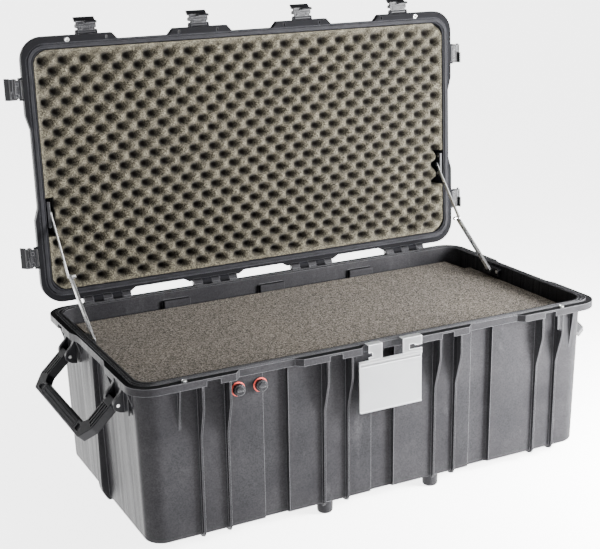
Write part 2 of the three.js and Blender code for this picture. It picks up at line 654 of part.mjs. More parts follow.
const lidPivot = new THREE.Group();
lidPivot.position.set(0, HINGE_Y, HINGE_Z);
lidPivot.rotation.x = rad(-LID_OPEN);
const lidGroup = new THREE.Group();
lidGroup.position.set(0, -HINGE_Y, -HINGE_Z);
lidPivot.add(lidGroup);
caseGroup.add(lidPivot);

lidGroup.add(
  piece('lid_shell', lidShell(), 'shell'),
  piece('lid_gasket', lidGasket(), 'gasket'),
  piece('lid_foam', lidFoam(), 'lidFoam'),
);
for (const latch of LATCHES) {
  const latchGroup = new THREE.Group();
  latchGroup.position.set(latch.x, latch.y, LATCH_Z);
  latchGroup.rotation.z = rad(latch.turn);
  latchGroup.add(
    piece(`latch_${latch.name}`, latchBody(), 'hardware'),
    piece(`latch_lever_${latch.name}`, latchLever(), 'hardware'),
  );
  lidGroup.add(latchGroup);
}

for (const [side, word] of [[-1, 'left'], [1, 'right']]) {
  const handleGroup = new THREE.Group();
  handleGroup.position.set(side * HANDLE_PIVOT.x, 0, HANDLE_PIVOT.z);
  handleGroup.rotation.y = rad(-side * HANDLE_OUT);
  handleGroup.add(
    piece(`handle_frame_${word}`, handleFrame(), 'hardware'),
    piece(`handle_grip_${word}`, handleGrip(), 'grip'),
  );
  caseGroup.add(
    handleGroup,
    piece(`base_eyelet_${word}`, eyelet(side, [RIM_UNDER - 1.5, RIM_TOP + 0.6]), 'steel'),
    piece(
      `stay_base_bracket_${word}`,
      stayBracket(side, STAY_BASE, STAY_LOWER_X, STAY_BASE_PLATE_X),
      'hardware',
    ),
    piece(`stay_lower_${word}`, stayLower(side), 'steel'),
    piece(`stay_upper_${word}`, stayUpper(side), 'steel'),
  );
  for (const [end, place] of [[-1, 'front'], [1, 'back']]) {
    caseGroup.add(
      piece(`handle_bracket_${word}_${place}`, handleBracket(side, end), 'hardware'),
      piece(`handle_pin_${word}_${place}`, handlePin(side, end), 'steel'),
    );
  }
  lidGroup.add(
    piece(`lid_eyelet_${word}`, eyelet(side, [LID_FACE - 0.6, LID_FACE + RIM_THICK + 1.5]), 'steel'),
    piece(
      `stay_lid_bracket_${word}`,
      stayBracket(side, STAY_LID, STAY_UPPER_X, STAY_LID_PLATE_X),
      'hardware',
    ),
  );
}

export default caseGroup;
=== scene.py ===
import json
from math import atan2, copysign, cos, pi, radians, sin

import bmesh
import bpy
from mathutils import Matrix, Vector, noise


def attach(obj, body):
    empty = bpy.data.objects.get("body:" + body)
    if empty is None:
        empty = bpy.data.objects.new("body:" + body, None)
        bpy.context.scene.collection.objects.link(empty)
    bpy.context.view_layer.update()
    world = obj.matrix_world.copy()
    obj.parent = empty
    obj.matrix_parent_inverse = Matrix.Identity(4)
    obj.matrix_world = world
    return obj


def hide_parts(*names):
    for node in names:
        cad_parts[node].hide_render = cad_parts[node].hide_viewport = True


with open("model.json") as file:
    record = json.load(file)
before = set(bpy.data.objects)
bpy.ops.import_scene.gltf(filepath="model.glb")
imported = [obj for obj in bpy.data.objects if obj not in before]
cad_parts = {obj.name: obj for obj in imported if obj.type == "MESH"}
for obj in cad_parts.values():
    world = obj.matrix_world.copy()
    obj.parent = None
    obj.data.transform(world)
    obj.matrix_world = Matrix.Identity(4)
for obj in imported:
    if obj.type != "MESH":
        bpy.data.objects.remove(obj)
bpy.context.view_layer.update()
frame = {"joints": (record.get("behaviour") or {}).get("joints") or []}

MM = 0.001


def new_object(name, data):
    made = bpy.data.objects.new(name, data)
    bpy.context.scene.collection.objects.link(made)
    return made


# ------------------------ camera and stage
CAMERA_AT = (-1.2793, -2.4888, 1.2638)
CAMERA_AZIMUTH = radians(26.546)
CAMERA_PITCH = radians(16.182)
CAMERA_ROLL = radians(-1.433)
CAMERA_LENS = 73.62
ROOM_GLOW, FLOOR_GLOW = 0.2, 4.2


def add_camera():
    forward = Vector((
        sin(CAMERA_AZIMUTH) * cos(CAMERA_PITCH),
        cos(CAMERA_AZIMUTH) * cos(CAMERA_PITCH),
        -sin(CAMERA_PITCH),
    ))
    right = Vector((cos(CAMERA_AZIMUTH), -sin(CAMERA_AZIMUTH), 0))
    up = right.cross(forward)
    turned_right = right * cos(CAMERA_ROLL) + up * sin(CAMERA_ROLL)
    turned_up = up * cos(CAMERA_ROLL) - right * sin(CAMERA_ROLL)
    basis = Matrix((turned_right, turned_up, -forward)).transposed().to_4x4()
    data = bpy.data.cameras.new("camera")
    data.lens = CAMERA_LENS
    data.sensor_width = 36
    camera = new_object("camera", data)
    camera.matrix_world = Matrix.Translation(CAMERA_AT) @ basis
    bpy.context.scene.camera = camera


def fill(node, **values):
    """Sets a node's inputs. An underscore in a name stands for a space."""
    for key, value in values.items():
        node.inputs[key.replace("_", " ")].default_value = value


def add_soft_box(name, at, towards, size, power):
    data = bpy.data.lights.new(name, "AREA")
    data.shape = "RECTANGLE"
    data.size, data.size_y = size
    data.energy = power
    light = new_object(name, data)
    aim = Vector(towards) - Vector(at)
    light.matrix_world = Matrix.Translation(at) @ aim.to_track_quat("-Z", "Y").to_matrix().to_4x4()


def add_world(room, horizon):
    """A dim, even room, with a pale band that carries the floor's brightness over the horizon."""
    world = bpy.data.worlds.new("studio")
    world.use_nodes = True
    nodes, links = world.node_tree.nodes, world.node_tree.links
    direction = nodes.new("ShaderNodeTexCoord").outputs["Generated"]
    split = nodes.new("ShaderNodeSeparateXYZ")
    blend = nodes.new("ShaderNodeMapRange")
    blend.interpolation_type = "SMOOTHSTEP"
    links.new(direction, split.inputs["Vector"])
    links.new(split.outputs["Z"], blend.inputs["Value"])
    fill(blend, From_Min=0.06, From_Max=0.22, To_Min=horizon, To_Max=room)
    links.new(blend.outputs["Result"], nodes["Background"].inputs["Strength"])
    fill(nodes["Background"], Color=(1, 1, 1, 1))
    bpy.context.scene.world = world


# ------------------------ driving dimensions
HINGE = next(j for j in frame["joints"] if j["name"] == "lid_hinge")
LID_OPEN = HINGE["range_deg"][1]
HINGE_Y, HINGE_Z = 317, HINGE["pos_m"][2] / MM
BODY_Y = HINGE["pos_m"][1] / MM - HINGE_Y

RIM_TOP, RIM_UNDER = 388, 369
PAD = (580, 313, 54)
PLAIN = (571, 298.5)
LID_BACK_Y = 304.5
LONG_DIPS = ((-360, -347, -220, -206), (-68, -55, 55, 68), (206, 220, 347, 360))
SHORT_DIP = (-136, -103, 80, 110)
WALL, WALL_DRAFT = (558.5, 285, 44), 7.5
CAVITY, CAVITY_DRAFT = (552, 278.5, 38), 9
WALL_BOTTOM, WALL_STRAIGHT, FLOOR, RUNNER_Z = 25, 34, 32, 19
CHANNEL_XS, CHANNEL_HALF, CHANNEL_DEPTH, CHANNEL_WALL = (-260, 0, 260), 29, 12, 6
RIB_XS, RIB_HALF, RIB_DEPTH = (-433, -373, -148, -90, 132, 187, 412, 468), 2.6, 27
GUSSET_XS, END_GUSSET_YS = (-476, 512), (-232, -100, 100, 232)
END_RIB_HALF, END_RIB_X = 13, 568
FOOT_X, FOOT_Y, FOOT_RADIUS = 137.5, 261, 17.5
HINGE_XS = (-422, -137.5, 137.5, 422)
BASE_KNUCKLES = ((-59, -37), (-11, 11), (37, 59))
LID_KNUCKLES = ((-36.4, -11.6), (11.6, 36.4))
KNUCKLE_RADIUS, KNUCKLE_SWEEP, PIN_RADIUS = 8.5, 9.7, 3
LID_FACE = 390.6
LID_TOP, LID_CEILING = LID_FACE + 55, LID_FACE + 48.4
LID_DOME, LID_CAVITY = (561, 289, 46), (553, 284, 36)
GASKET, LID_GROOVE = (562, 291, 38), (568.6, 296.6, 46)
RIM_GROOVES = (((562.5, 291, 42), 1.1, 2), ((554, 285.4, 40), 0.9, 1.6))
LID_FOAM, BASE_FOAM, BASE_FOAM_TOP = (551.5, 282.5, 36), (548, 264.5, 26), 353
LATCH_XS, LATCH_YS, LATCH_OFFSET = (-420, -140, 140, 420), (-198, 198), 5
LATCH_Z, LATCH_HALF, LATCH_NECK = LID_FACE + 7.5, 24, 21
LEVER_Y, LEVER_Z = -12.5, 8.5
EYELET_X, EYELET_Y, EYELET_BORE = 469, 303.2, 5.9
VALVE_XS, VALVE_Z, VALVE_BORE = (-346, -295.5), 339, 8.5
HANDLE_X, HANDLE_Z, HANDLE_OUT = 575, 318, 46
ARM_INNER, ARM_OUTER, ARM_THICK = 148, 188, 10
CORE_HALF, CORE_Z, CORE_GAP = 6, (-98, -80), 0.3
GRIP_HALF, GRIP_TOP, GRIP_BOTTOM, GRIP_THICK = 118, -74.5, -103.5, 10.5
CARD_X, CARD_Z = (-77, 78), (238, 356)
STAY_BASE, STAY_ELBOW, STAY_LID = (75, 372), (224.9, 480.5), (98, 402)
STAY_LOWER_X, STAY_UPPER_X = (532.1, 538.1), (538.6, 541.6)
STAY_BASE_PLATE_X, STAY_LID_PLATE_X = (539.2, 550.6), (542.6, 549.6)
STAY_LOWER_HALF, STAY_UPPER_HALF = 5.5, 4.5
LID_NOTCH_X, LID_NOTCH_Y = (530, 560), (58, 152)
BASE_NOTCH_X, BASE_NOTCH_Y, BASE_NOTCH_Z = (520.5, 556), (176, 272), 342
SIDES = ((-1, "left"), (1, "right"))
CIRCLE = 32

# The lid's pieces are built closed, then turned open about the hinge line.
AT_BASE = Matrix.Translation((0, BODY_Y, 0))
TO_HINGE = Matrix.Translation((0, HINGE_Y, HINGE_Z))
AT_LID = AT_BASE @ TO_HINGE @ Matrix.Rotation(radians(-LID_OPEN), 4, "X") @ TO_HINGE.inverted()


# ------------------------ mesh helpers
def solid(verts, faces, bevel=0.0, segments=2, limit=25):
    """A closed mesh in millimetres, its edges sharper than `limit` degrees rounded by `bevel`."""
    mesh = bmesh.new()
    for point in verts:
        mesh.verts.new(point)
    mesh.verts.ensure_lookup_table()
    for face in faces:
        mesh.faces.new([mesh.verts[i] for i in face])
    bmesh.ops.recalc_face_normals(mesh, faces=mesh.faces)
    if bevel:
        sharp = [e for e in mesh.edges if e.calc_face_angle(0) > radians(limit)]
        bmesh.ops.bevel(mesh, geom=sharp, offset=bevel, segments=segments, profile=0.5,
                        affect="EDGES", clamp_overlap=True)
        bmesh.ops.recalc_face_normals(mesh, faces=mesh.faces)
    data = bpy.data.meshes.new("solid")
    mesh.to_mesh(data)
    mesh.free()
    return new_object("solid", data)


AXES = {
    "x": lambda u, v, w: (w, u, v),
    "y": lambda u, v, w: (u, w, v),
    "z": lambda u, v, w: (u, v, w),
}


def prism(axis, outline, span, **options):
    """An outline run along an axis: (y, z) along x, (x, z) along y or (x, y) along z."""
    turn = AXES[axis]
    count = len(outline)
    verts = [turn(u, v, w) for w in span for u, v in outline]
    sides = [(i, (i + 1) % count, (i + 1) % count + count, i + count) for i in range(count)]
    caps = [tuple(range(count)), tuple(range(count, 2 * count))]
    return solid(verts, sides + caps, **options)


def box(xs, ys, zs, **options):
    outline = [(xs[0], ys[0]), (xs[1], ys[0]), (xs[1], ys[1]), (xs[0], ys[1])]
    return prism("z", outline, zs, **options)


def stack(rings):
    """A closed skin through rings of points that all have the same count."""
    count = len(rings[0])
    verts = [point for ring in rings for point in ring]
    faces = [tuple(range(count)), tuple(range(len(verts) - count, len(verts)))]
    for level in range(len(rings) - 1):
        low = level * count
        for i in range(count):
            j = (i + 1) % count
            faces.append((low + i, low + j, low + count + j, low + count + i))
    return solid(verts, faces)


def turned(axis, centre, profile, sides=CIRCLE):
    """A solid of revolution: profile is [(place along the axis, radius), ...]."""
    turn = AXES[axis]
    rings = []
    for along, radius in profile:
        angles = [2 * pi * (i + 0.5) / sides for i in range(sides)]
        rings.append([turn(centre[0] + radius * cos(a), centre[1] + radius * sin(a), along)
                      for a in angles])
    return stack(rings)


def rod(axis, centre, radius, span, edge=0.5, sides=CIRCLE):
    low, high = min(span), max(span)
    return turned(axis, centre, [(low, radius - edge), (low + edge, radius),
                                 (high - edge, radius), (high, radius - edge)], sides)


def corner_arc(centre_u, centre_v, radius, steps=12):
    arc = []
    for i in range(1, steps):
        angle = (pi / 2) * (1 - i / steps)
        arc.append((centre_u + radius * cos(angle), centre_v + radius * sin(angle)))
    return arc


PLAN_SIDES = (
    ("front", lambda u, v: (u, -v)),
    ("right", lambda u, v: (v, u)),
    ("back", lambda u, v: (-u, v)),
    ("left", lambda u, v: (-v, -u)),
)


def plan(half_x, half_y, corner, dips_for=None):
    """A rounded rectangle seen from above; dips_for(side) gives the set-back runs of a side."""
    points = []
    for side, place_point in PLAN_SIDES:
        along, out = (half_x, half_y) if side in ("front", "back") else (half_y, half_x)
        run = [(corner - along, out)]
        run += dips_for(side) if dips_for else []
        run += [(along - corner, out)]
        run += corner_arc(along - corner, out - corner, corner)
        points += [place_point(u, v) for u, v in run]
    return points


def rim_plan(inset, back_y):
    """The rim's outline: proud over the pads, set back between them, but by back_y on the hinge side."""
    def dips_for(side):
        if side == "back" and back_y == PAD[1]:
            return []
        mirrored = tuple(-v for v in reversed(SHORT_DIP))
        dips = {"left": (mirrored,), "right": (SHORT_DIP,)}.get(side, LONG_DIPS)
        high = (PAD[0] if side in ("left", "right") else PAD[1]) - inset
        low = {"front": PLAIN[1], "back": back_y}.get(side, PLAIN[0]) - inset
        return [point for a, b, c, d in dips for point in (
            (a - inset, high), (b - inset, low), (c + inset, low), (d + inset, high))]
    return plan(PAD[0] - inset, PAD[1] - inset, PAD[2] - inset, dips_for)


def lofted(size, levels):
    """A rounded block whose outline draws in by an inset at each level, [(z, inset), ...]."""
    rings = []
    for z, inset in levels:
        outline = plan(size[0] - inset, size[1] - inset, max(size[2] - inset * 0.5, 2))
        rings.append([(x, y, z) for x, y in outline])
    return stack(rings)


def rim_block(levels, back_y):
    return stack([[(x, y, z) for x, y in rim_plan(inset, back_y)] for z, inset in levels])


def join(target, others, operation="UNION"):
    """Joins, cuts or crosses solids, and drops the tools."""
    for other in others:
        step = target.modifiers.new("step", "BOOLEAN")
        step.operation = operation
        step.solver = "MANIFOLD"
        step.object = other
    graph = bpy.context.evaluated_depsgraph_get()
    data = bpy.data.meshes.new_from_object(target.evaluated_get(graph))
    target.modifiers.clear()
    target.data = data
    for other in others:
        bpy.data.objects.remove(other)
    return target


def cut(target, others):
    return join(target, others, "DIFFERENCE")


def plan_ring(size, half, span, edge=0.0):
    outer = plan(size[0] + half, size[1] + half, size[2] + half)
    inner = plan(size[0] - half, size[1] - half, size[2] - half)
    ring = prism("z", outer, span, bevel=edge, limit=60)
    return cut(ring, [prism("z", inner, (span[0] - 1, span[1] + 1))])


def span_on(sign, a, b):
    """A span on the side that sign names."""
    return (a, b) if sign > 0 else (-b, -a)


def mirror_y(outline):
    return [(-y, z) for y, z in outline]


def front_and_back(outline, span, **options):
    """A prism along X and its mirror image across the case."""
    return [prism("x", side, span, **options) for side in (outline, mirror_y(outline))]


def place(piece, name, body, slot, matrix, replaced, smooth=35, finish=None):
    """Moves a finished solid to its place in the shared frame and gives it its body and finish."""
    piece.data.transform(Matrix.Scale(MM, 4) @ matrix)
    piece.name = name
    piece.data.name = name
    piece.data.shade_smooth()
    piece.data.set_sharp_from_angle(angle=radians(smooth))
    weighted = piece.modifiers.new("normals", "WEIGHTED_NORMAL")
    weighted.keep_sharp = True
    piece.data.materials.clear()
    piece.data.materials.append(FINISHES[finish or slot])
    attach(piece, body)
    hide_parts(*replaced)
    return piece


# ------------------------ finishes
class Finish:
    """A Principled material and the few node steps that the finishes share."""

    def __init__(self, name):
        self.material = bpy.data.materials.new(name)
        self.material.use_nodes = True
        self.tree = self.material.node_tree
        self.shader = self.tree.nodes["Principled BSDF"]
        self.where = self.add("ShaderNodeTexCoord").outputs["Object"]

    def add(self, kind, **values):
        node = self.tree.nodes.new(kind)
        for key, value in values.items():
            setattr(node, key, value)
        return node

    def link(self, source, target):
        self.tree.links.new(source, target)

    def noise(self, scale, detail=2.0, rough=0.5, stretch=None):
        texture = self.add("ShaderNodeTexNoise")
        fill(texture, Scale=scale, Detail=detail, Roughness=rough)
        if stretch:
            mapping = self.add("ShaderNodeMapping")
            fill(mapping, Scale=stretch)
            self.link(self.where, mapping.inputs["Vector"])
            self.link(mapping.outputs["Vector"], texture.inputs["Vector"])
        else:
            self.link(self.where, texture.inputs["Vector"])
        return texture.outputs["Fac"]

    def range(self, value, low, high, to_low, to_high):
        node = self.add("ShaderNodeMapRange")
        self.link(value, node.inputs["Value"])
        fill(node, From_Min=low, From_Max=high, To_Min=to_low, To_Max=to_high)
        return node.outputs["Result"]

    def ramp(self, value, stops):
        node = self.add("ShaderNodeValToRGB")
        ramp = node.color_ramp
        while len(ramp.elements) < len(stops):
            ramp.elements.new(0.5)
        for element, (at, colour) in zip(ramp.elements, stops):
            element.position = at
            element.color = (*colour, 1)
        self.link(value, node.inputs["Fac"])
        return node.outputs["Color"]

    def feed(self, sockets, values):
        """Gives each socket its value: a link, a colour or a number."""
        for socket, value in zip(sockets, values):
            if isinstance(value, bpy.types.NodeSocket):
                self.link(value, socket)
            else:
                socket.default_value = (*value, 1) if isinstance(value, tuple) else value

    def mix(self, factor, first, second, blend="MIX"):
        """Mixes two colours."""
        node = self.add("ShaderNodeMix", data_type="RGBA", blend_type=blend)
        self.feed(node.inputs[0:1] + node.inputs[6:8], (factor, first, second))
        return node.outputs[2]

    def blend(self, factor, first, second):
        """Mixes two numbers."""
        node = self.add("ShaderNodeMix", data_type="FLOAT")
        self.feed(node.inputs[0:1] + node.inputs[2:4], (factor, first, second))
        return node.outputs[0]

    def cells(self, scale):
        """A random number from 0 to 1 for each small cell."""
        texture = self.add("ShaderNodeTexVoronoi")
        fill(texture, Scale=scale)
        self.link(self.where, texture.inputs["Vector"])
        parts = self.add("ShaderNodeSeparateColor")
        self.link(texture.outputs["Color"], parts.inputs["Color"])
        return parts.outputs[0]

    def edges(self, radius):
        """1 along rounded edges and 0 on flat faces."""
        bevel = self.add("ShaderNodeBevel", samples=6)
        fill(bevel, Radius=radius)
        flat = self.add("ShaderNodeNewGeometry").outputs["Normal"]
        dot = self.add("ShaderNodeVectorMath", operation="DOT_PRODUCT")
        self.link(bevel.outputs["Normal"], dot.inputs[0])
        self.link(flat, dot.inputs[1])
        return self.range(dot.outputs["Value"], 0.985, 0.86, 0, 1)

    def bump(self, height, strength, distance):
        node = self.add("ShaderNodeBump")
        fill(node, Strength=strength, Distance=distance)
        self.link(height, node.inputs["Height"])
        if self.shader.inputs["Normal"].is_linked:
            previous = self.shader.inputs["Normal"].links[0].from_socket
            self.link(previous, node.inputs["Normal"])
        self.link(node.outputs["Normal"], self.shader.inputs["Normal"])

    def colour(self, socket):
        self.link(socket, self.shader.inputs["Base Color"])

    def roughness(self, socket):
        self.link(socket, self.shader.inputs["Roughness"])

    def set(self, **values):
        fill(self.shader, **values)


def moulded_plastic(name, dark, light, rough, grain, edge_wear_and_highlight, gloss, edge=0.0014, rim_side=None):
    """Moulded plastic: mottling, fine texture, paler edges that are partly scuffed wear and partly painted
    highlight, and a few rub marks.

    rim_side adds what the shells show: end walls polished in streaks by the mould, and faces where
    the rim faces that way made matt and darkened with painted shade.
    """
    finish = Finish(name)
    mottle = finish.noise(9, 4, 0.6)
    body = finish.ramp(mottle, ((0.3, dark), (0.72, light)))
    rub = finish.noise(26, 6, 0.7, stretch=(1, 1, 0.3))
    scuffed = finish.range(rub, 0.6, 0.78, 0, 0.3)
    body = finish.mix(scuffed, body, tuple(min(c * 2.1 + 0.02, 1) for c in light))
    grains = finish.range(finish.cells(420), 0, 1, 0.72, 1.28)
    body = finish.mix(1.0, body, grains, "MULTIPLY")
    roughness = finish.range(finish.noise(60, 5, 0.65), 0.3, 0.7, rough - 0.06, rough + 0.1)
    if rim_side:
        normal = finish.add("ShaderNodeTexCoord").outputs["Normal"]
        split = finish.add("ShaderNodeSeparateXYZ")
        finish.link(normal, split.inputs["Vector"])
        sideways = finish.add("ShaderNodeMath", operation="ABSOLUTE")
        finish.link(split.outputs["X"], sideways.inputs[0])
        end_face = finish.range(sideways.outputs["Value"], 0.95, 0.99, 0, 1)
        facing = finish.add("ShaderNodeVectorMath", operation="DOT_PRODUCT")
        finish.link(normal, facing.inputs[0])
        facing.inputs[1].default_value = rim_side
        matt_and_shaded_face = finish.range(facing.outputs["Value"], 0.7, 0.95, 0, 1)
        streaks = finish.noise(1, 5, 0.7, stretch=(20, 46, 1.6))
        polish = finish.range(streaks, 0.34, 0.66, 0.40, 0.16)
        roughness = finish.blend(end_face, roughness, polish)
        roughness = finish.blend(matt_and_shaded_face, roughness, 0.75)
        # painted shade: faces that turn towards rim_side are darkened towards near black
        body = finish.mix(finish.blend(matt_and_shaded_face, 0.0, 0.75), body, (0.004, 0.004, 0.0045))
    # paler rounded edges: partly wear, partly painted highlight
    worn_and_highlit = finish.mix(finish.edges(edge), body, edge_wear_and_highlight)
    finish.colour(worn_and_highlit)
    finish.roughness(roughness)
    finish.set(Specular_IOR_Level=gloss)
    finish.bump(finish.noise(2100, 2, 0.6), grain, 0.0003)
    finish.bump(finish.noise(45, 2, 0.5), 0.05, 0.002)
    return finish.material


def foam(name, stops, pit_shade_colour=None):
    """Open-cell foam: a speckle of lit and shaded cells, with soft patches."""
    finish = Finish(name)
    fine = finish.noise(800, 3, 0.75)
    speckle = finish.blend(0.45, finish.cells(470), fine)
    body = finish.ramp(speckle, stops)
    patches = finish.ramp(finish.noise(5, 3, 0.5), ((0.3, (0.86, 0.87, 0.9)), (0.7, (1, 1, 1))))
    body = finish.mix(1.0, body, patches, "MULTIPLY")
    if pit_shade_colour:
        # painted shade: the pits darken towards pit_shade_colour as they get deeper
        pit = finish.add("ShaderNodeAttribute", attribute_name="pit").outputs["Fac"]
        body = finish.mix(finish.range(pit, 0.08, 0.8, 0, 0.97), body, pit_shade_colour)
    finish.colour(body)
    finish.set(Roughness=0.98, Specular_IOR_Level=0.02, Sheen_Weight=0.03, Sheen_Roughness=0.6)
    finish.bump(fine, 0.9, 0.0016)
    return finish.material


def rubber(name, dark, light, rough):
    finish = Finish(name)
    body = finish.ramp(finish.noise(40, 5, 0.65), ((0.3, dark), (0.7, light)))
    # paler rounded edges: partly wear, partly painted highlight
    finish.colour(finish.mix(finish.edges(0.0012), body, tuple(c * 1.8 for c in light)))
    finish.roughness(finish.range(finish.noise(180, 4, 0.6), 0.3, 0.7, rough - 0.08, rough + 0.08))
    finish.set(Specular_IOR_Level=0.05)
    finish.bump(finish.noise(1500, 3, 0.6), 0.25, 0.0003)
    return finish.material


def brushed_steel(name):
    finish = Finish(name)
    streaks = finish.noise(900, 3, 0.6, stretch=(1, 0.06, 0.06))
    finish.colour(finish.ramp(streaks, ((0.25, (0.42, 0.42, 0.42)), (0.75, (0.72, 0.72, 0.71)))))
    finish.roughness(finish.range(streaks, 0.3, 0.7, 0.2, 0.38))
    finish.set(Metallic=1.0)
    finish.bump(streaks, 0.06, 0.0004)
    return finish.material


def clear_plastic(name):
    """Clear sheet with milky cut edges, partly frosting and partly painted highlight, and a slight haze."""
    finish = Finish(name)
    edge = finish.edges(0.0016)
    haze = finish.ramp(finish.noise(14, 4, 0.6), ((0.3, (0.86, 0.87, 0.89)), (0.7, (0.95, 0.96, 0.97))))
    # whiter, less clear edges: partly frosting, partly painted highlight
    finish.colour(finish.mix(edge, haze, (0.97, 0.97, 0.98)))
    finish.roughness(finish.range(finish.noise(30, 3, 0.6), 0.3, 0.7, 0.28, 0.4))
    finish.link(finish.range(edge, 0, 1, 0.92, 0.1), finish.shader.inputs["Transmission Weight"])
    finish.set(IOR=1.2)
    return finish.material


def blank_card(name):
    finish = Finish(name)
    fibres = finish.noise(700, 4, 0.7, stretch=(1, 1, 0.25))
    finish.colour(finish.ramp(fibres, ((0.3, (0.33, 0.333, 0.333)), (0.7, (0.40, 0.40, 0.396)))))
    finish.set(Roughness=0.9)
    finish.bump(fibres, 0.15, 0.0002)
    return finish.material


FINISHES = {
    # the fourth colour of each moulded plastic is its edge colour: partly wear, partly painted highlight
    "shell": moulded_plastic("shell_plastic", (0.010, 0.0098, 0.011), (0.017, 0.0166, 0.018),
                             0.5, 0.22, (0.09, 0.09, 0.095), 0.045, edge=0.0022, rim_side=(0, 0, 1)),
    "lid_shell": moulded_plastic("lid_plastic", (0.005, 0.005, 0.0062), (0.010, 0.010, 0.0117),
                                 0.46, 0.2, (0.045, 0.045, 0.05), 0.03, edge=0.0014, rim_side=(0, -1, 0)),
    "hardware": moulded_plastic("hardware_plastic", (0.004, 0.004, 0.005), (0.009, 0.009, 0.0105),
                                0.36, 0.12, (0.16, 0.16, 0.165), 0.12, edge=0.0011),
    "grip_rubber": rubber("grip_rubber", (0.012, 0.012, 0.013), (0.026, 0.026, 0.028), 0.5),
    "gasket": rubber("gasket_rubber", (0.006, 0.006, 0.007), (0.014, 0.014, 0.016), 0.6),
    "red_seal": rubber("seal_rubber", (0.42, 0.05, 0.04), (0.62, 0.1, 0.08), 0.5),
    "base_foam": foam("flat_foam", (
        (0.22, (0.014, 0.0115, 0.009)), (0.48, (0.066, 0.057, 0.046)), (0.76, (0.215, 0.189, 0.158)))),
    "lid_foam": foam("egg_crate_foam", (
        (0.22, (0.018, 0.016, 0.011)), (0.48, (0.050, 0.0445, 0.032)), (0.76, (0.125, 0.113, 0.081))),
        pit_shade_colour=(0.003, 0.0025, 0.002)),
    "steel": brushed_steel("bright_steel"),
    "clear_plastic": clear_plastic("clear_sheet"),
    "card": blank_card("blank_card"),
}


# ------------------------ base
def wall_y(z):
    return WALL[1] - WALL_DRAFT * (RIM_TOP - z) / (RIM_TOP - WALL_STRAIGHT)


def rounded_levels(low, high, inset, radius, steps=6):
    """Levels that turn a lower edge from flat, at `low`, up to `high` round a quarter circle."""
    levels = []
    for i in range(steps + 1):
        angle = pi / 2 * i / steps
        levels.append((high - (high - low) * cos(angle), inset + radius * (1 - sin(angle))))
    return levels


def channel(x, half, depth, reach, edge):
    top, bottom = RIM_UNDER + 1, WALL_BOTTOM - 5
    front = [(-wall_y(top) + depth, top), (-wall_y(top) - reach, top),
             (-wall_y(bottom) - reach, bottom), (-wall_y(bottom) + depth, bottom)]
    return front_and_back(front, (x - half, x + half), bevel=edge, segments=3)


def long_rib(x):
    low = -wall_y(60)
    outline = [
        (low + 4, RIM_UNDER + 1), (-WALL[1] - RIB_DEPTH, RIM_UNDER + 1), (-WALL[1] - RIB_DEPTH, 326),
        (-WALL[1] - 25.6, 317), (-wall_y(258) - 11.2, 258), (-wall_y(248) - 9, 248),
        (low - 8, WALL_STRAIGHT), (low - 6.4, 30), (low - 2, 23), (low + 8, RUNNER_Z), (0, RUNNER_Z),
        (0, FLOOR - 3), (low + 4, FLOOR + 20),
    ]
    return front_and_back(outline, (x - RIB_HALF, x + RIB_HALF), bevel=1.1, limit=50)


def long_gusset(x):
    outline = [(-WALL[1] + 3, RIM_UNDER + 1), (-WALL[1] - 12, RIM_UNDER + 1), (-wall_y(262) + 1, 262)]
    return front_and_back(outline, (x - 2, x + 2), bevel=0.8)


def end_rib(side):
    wall, out = WALL[0], END_RIB_X
    outline = [(wall - 8, RIM_UNDER + 1), (out, RIM_UNDER + 1), (out, 58), (out - 2, 46), (out - 6, 36),
               (out - 11, 26), (wall - 6, 20), (wall - 30, 20), (wall - 30, FLOOR - 3), (wall - 10, 60)]
    return prism("y", [(side * x, z) for x, z in outline], (-END_RIB_HALF, END_RIB_HALF),
                 bevel=3, segments=4)


def end_gusset(side, y):
    outline = [(WALL[0] - 3, RIM_UNDER + 1), (PAD[0] - 8, RIM_UNDER + 1), (WALL[0] - 3, 318)]
    return prism("y", [(side * x, z) for x, z in outline], (y - 2, y + 2), bevel=0.8)


def foot(sx, sy):
    profile = [(0, 12.5), (1, 15.5), (3, 17), (5, FOOT_RADIUS), (FLOOR - 2, FOOT_RADIUS + 0.8)]
    whole = turned("z", (sx * FOOT_X, sy * FOOT_Y), profile)
    return cut(whole, [rod("z", (sx * FOOT_X, sy * FOOT_Y), 7, (-1, 6), edge=0.8)])


def knuckles(x, spans, web):
    parts = []
    for a, b in spans:
        barrel = rod("x", (HINGE_Y, HINGE_Z), KNUCKLE_RADIUS, (x + a, x + b), edge=0.8)
        parts.append(join(barrel, [prism("x", web, (x + a, x + b), bevel=0.7)]))
    return parts


def knuckle_room(x, spans):
    return [rod("x", (HINGE_Y, HINGE_Z), KNUCKLE_SWEEP, (x + a - 0.6, x + b + 0.6), edge=0.1)
            for a, b in spans]


def pin_holes():
    return [rod("x", (HINGE_Y, HINGE_Z), PIN_RADIUS + 0.3, (x - 64, x + 64), edge=0.1) for x in HINGE_XS]


def pad_steps(z_from, z_to):
    """The pads stand lower than the sealing line, so a step runs round the rim."""
    inner = plan(PLAIN[0] - 3.4, PLAIN[1] - 3.4, PAD[2] - 12)
    ring = prism("z", rim_plan(-6, PAD[1]), (z_from, z_to))
    return cut(ring, [prism("z", inner, (z_from - 1, z_to + 1))])


def latch_places():
    spots = [(f"front_{i + 1}", x, -PAD[1] - LATCH_OFFSET, 0) for i, x in enumerate(LATCH_XS)]
    spots += [(f"left_{i + 1}", -PAD[0] - LATCH_OFFSET, y, -90) for i, y in enumerate(LATCH_YS)]
    spots += [(f"right_{i + 1}", PAD[0] + LATCH_OFFSET, y, 90) for i, y in enumerate(LATCH_YS)]
    return spots


def at_latch(x, y, turn):
    return Matrix.Translation((x, y, LATCH_Z)) @ Matrix.Rotation(radians(turn), 4, "Z")


def moved(piece, matrix):
    piece.data.transform(matrix)
    return piece


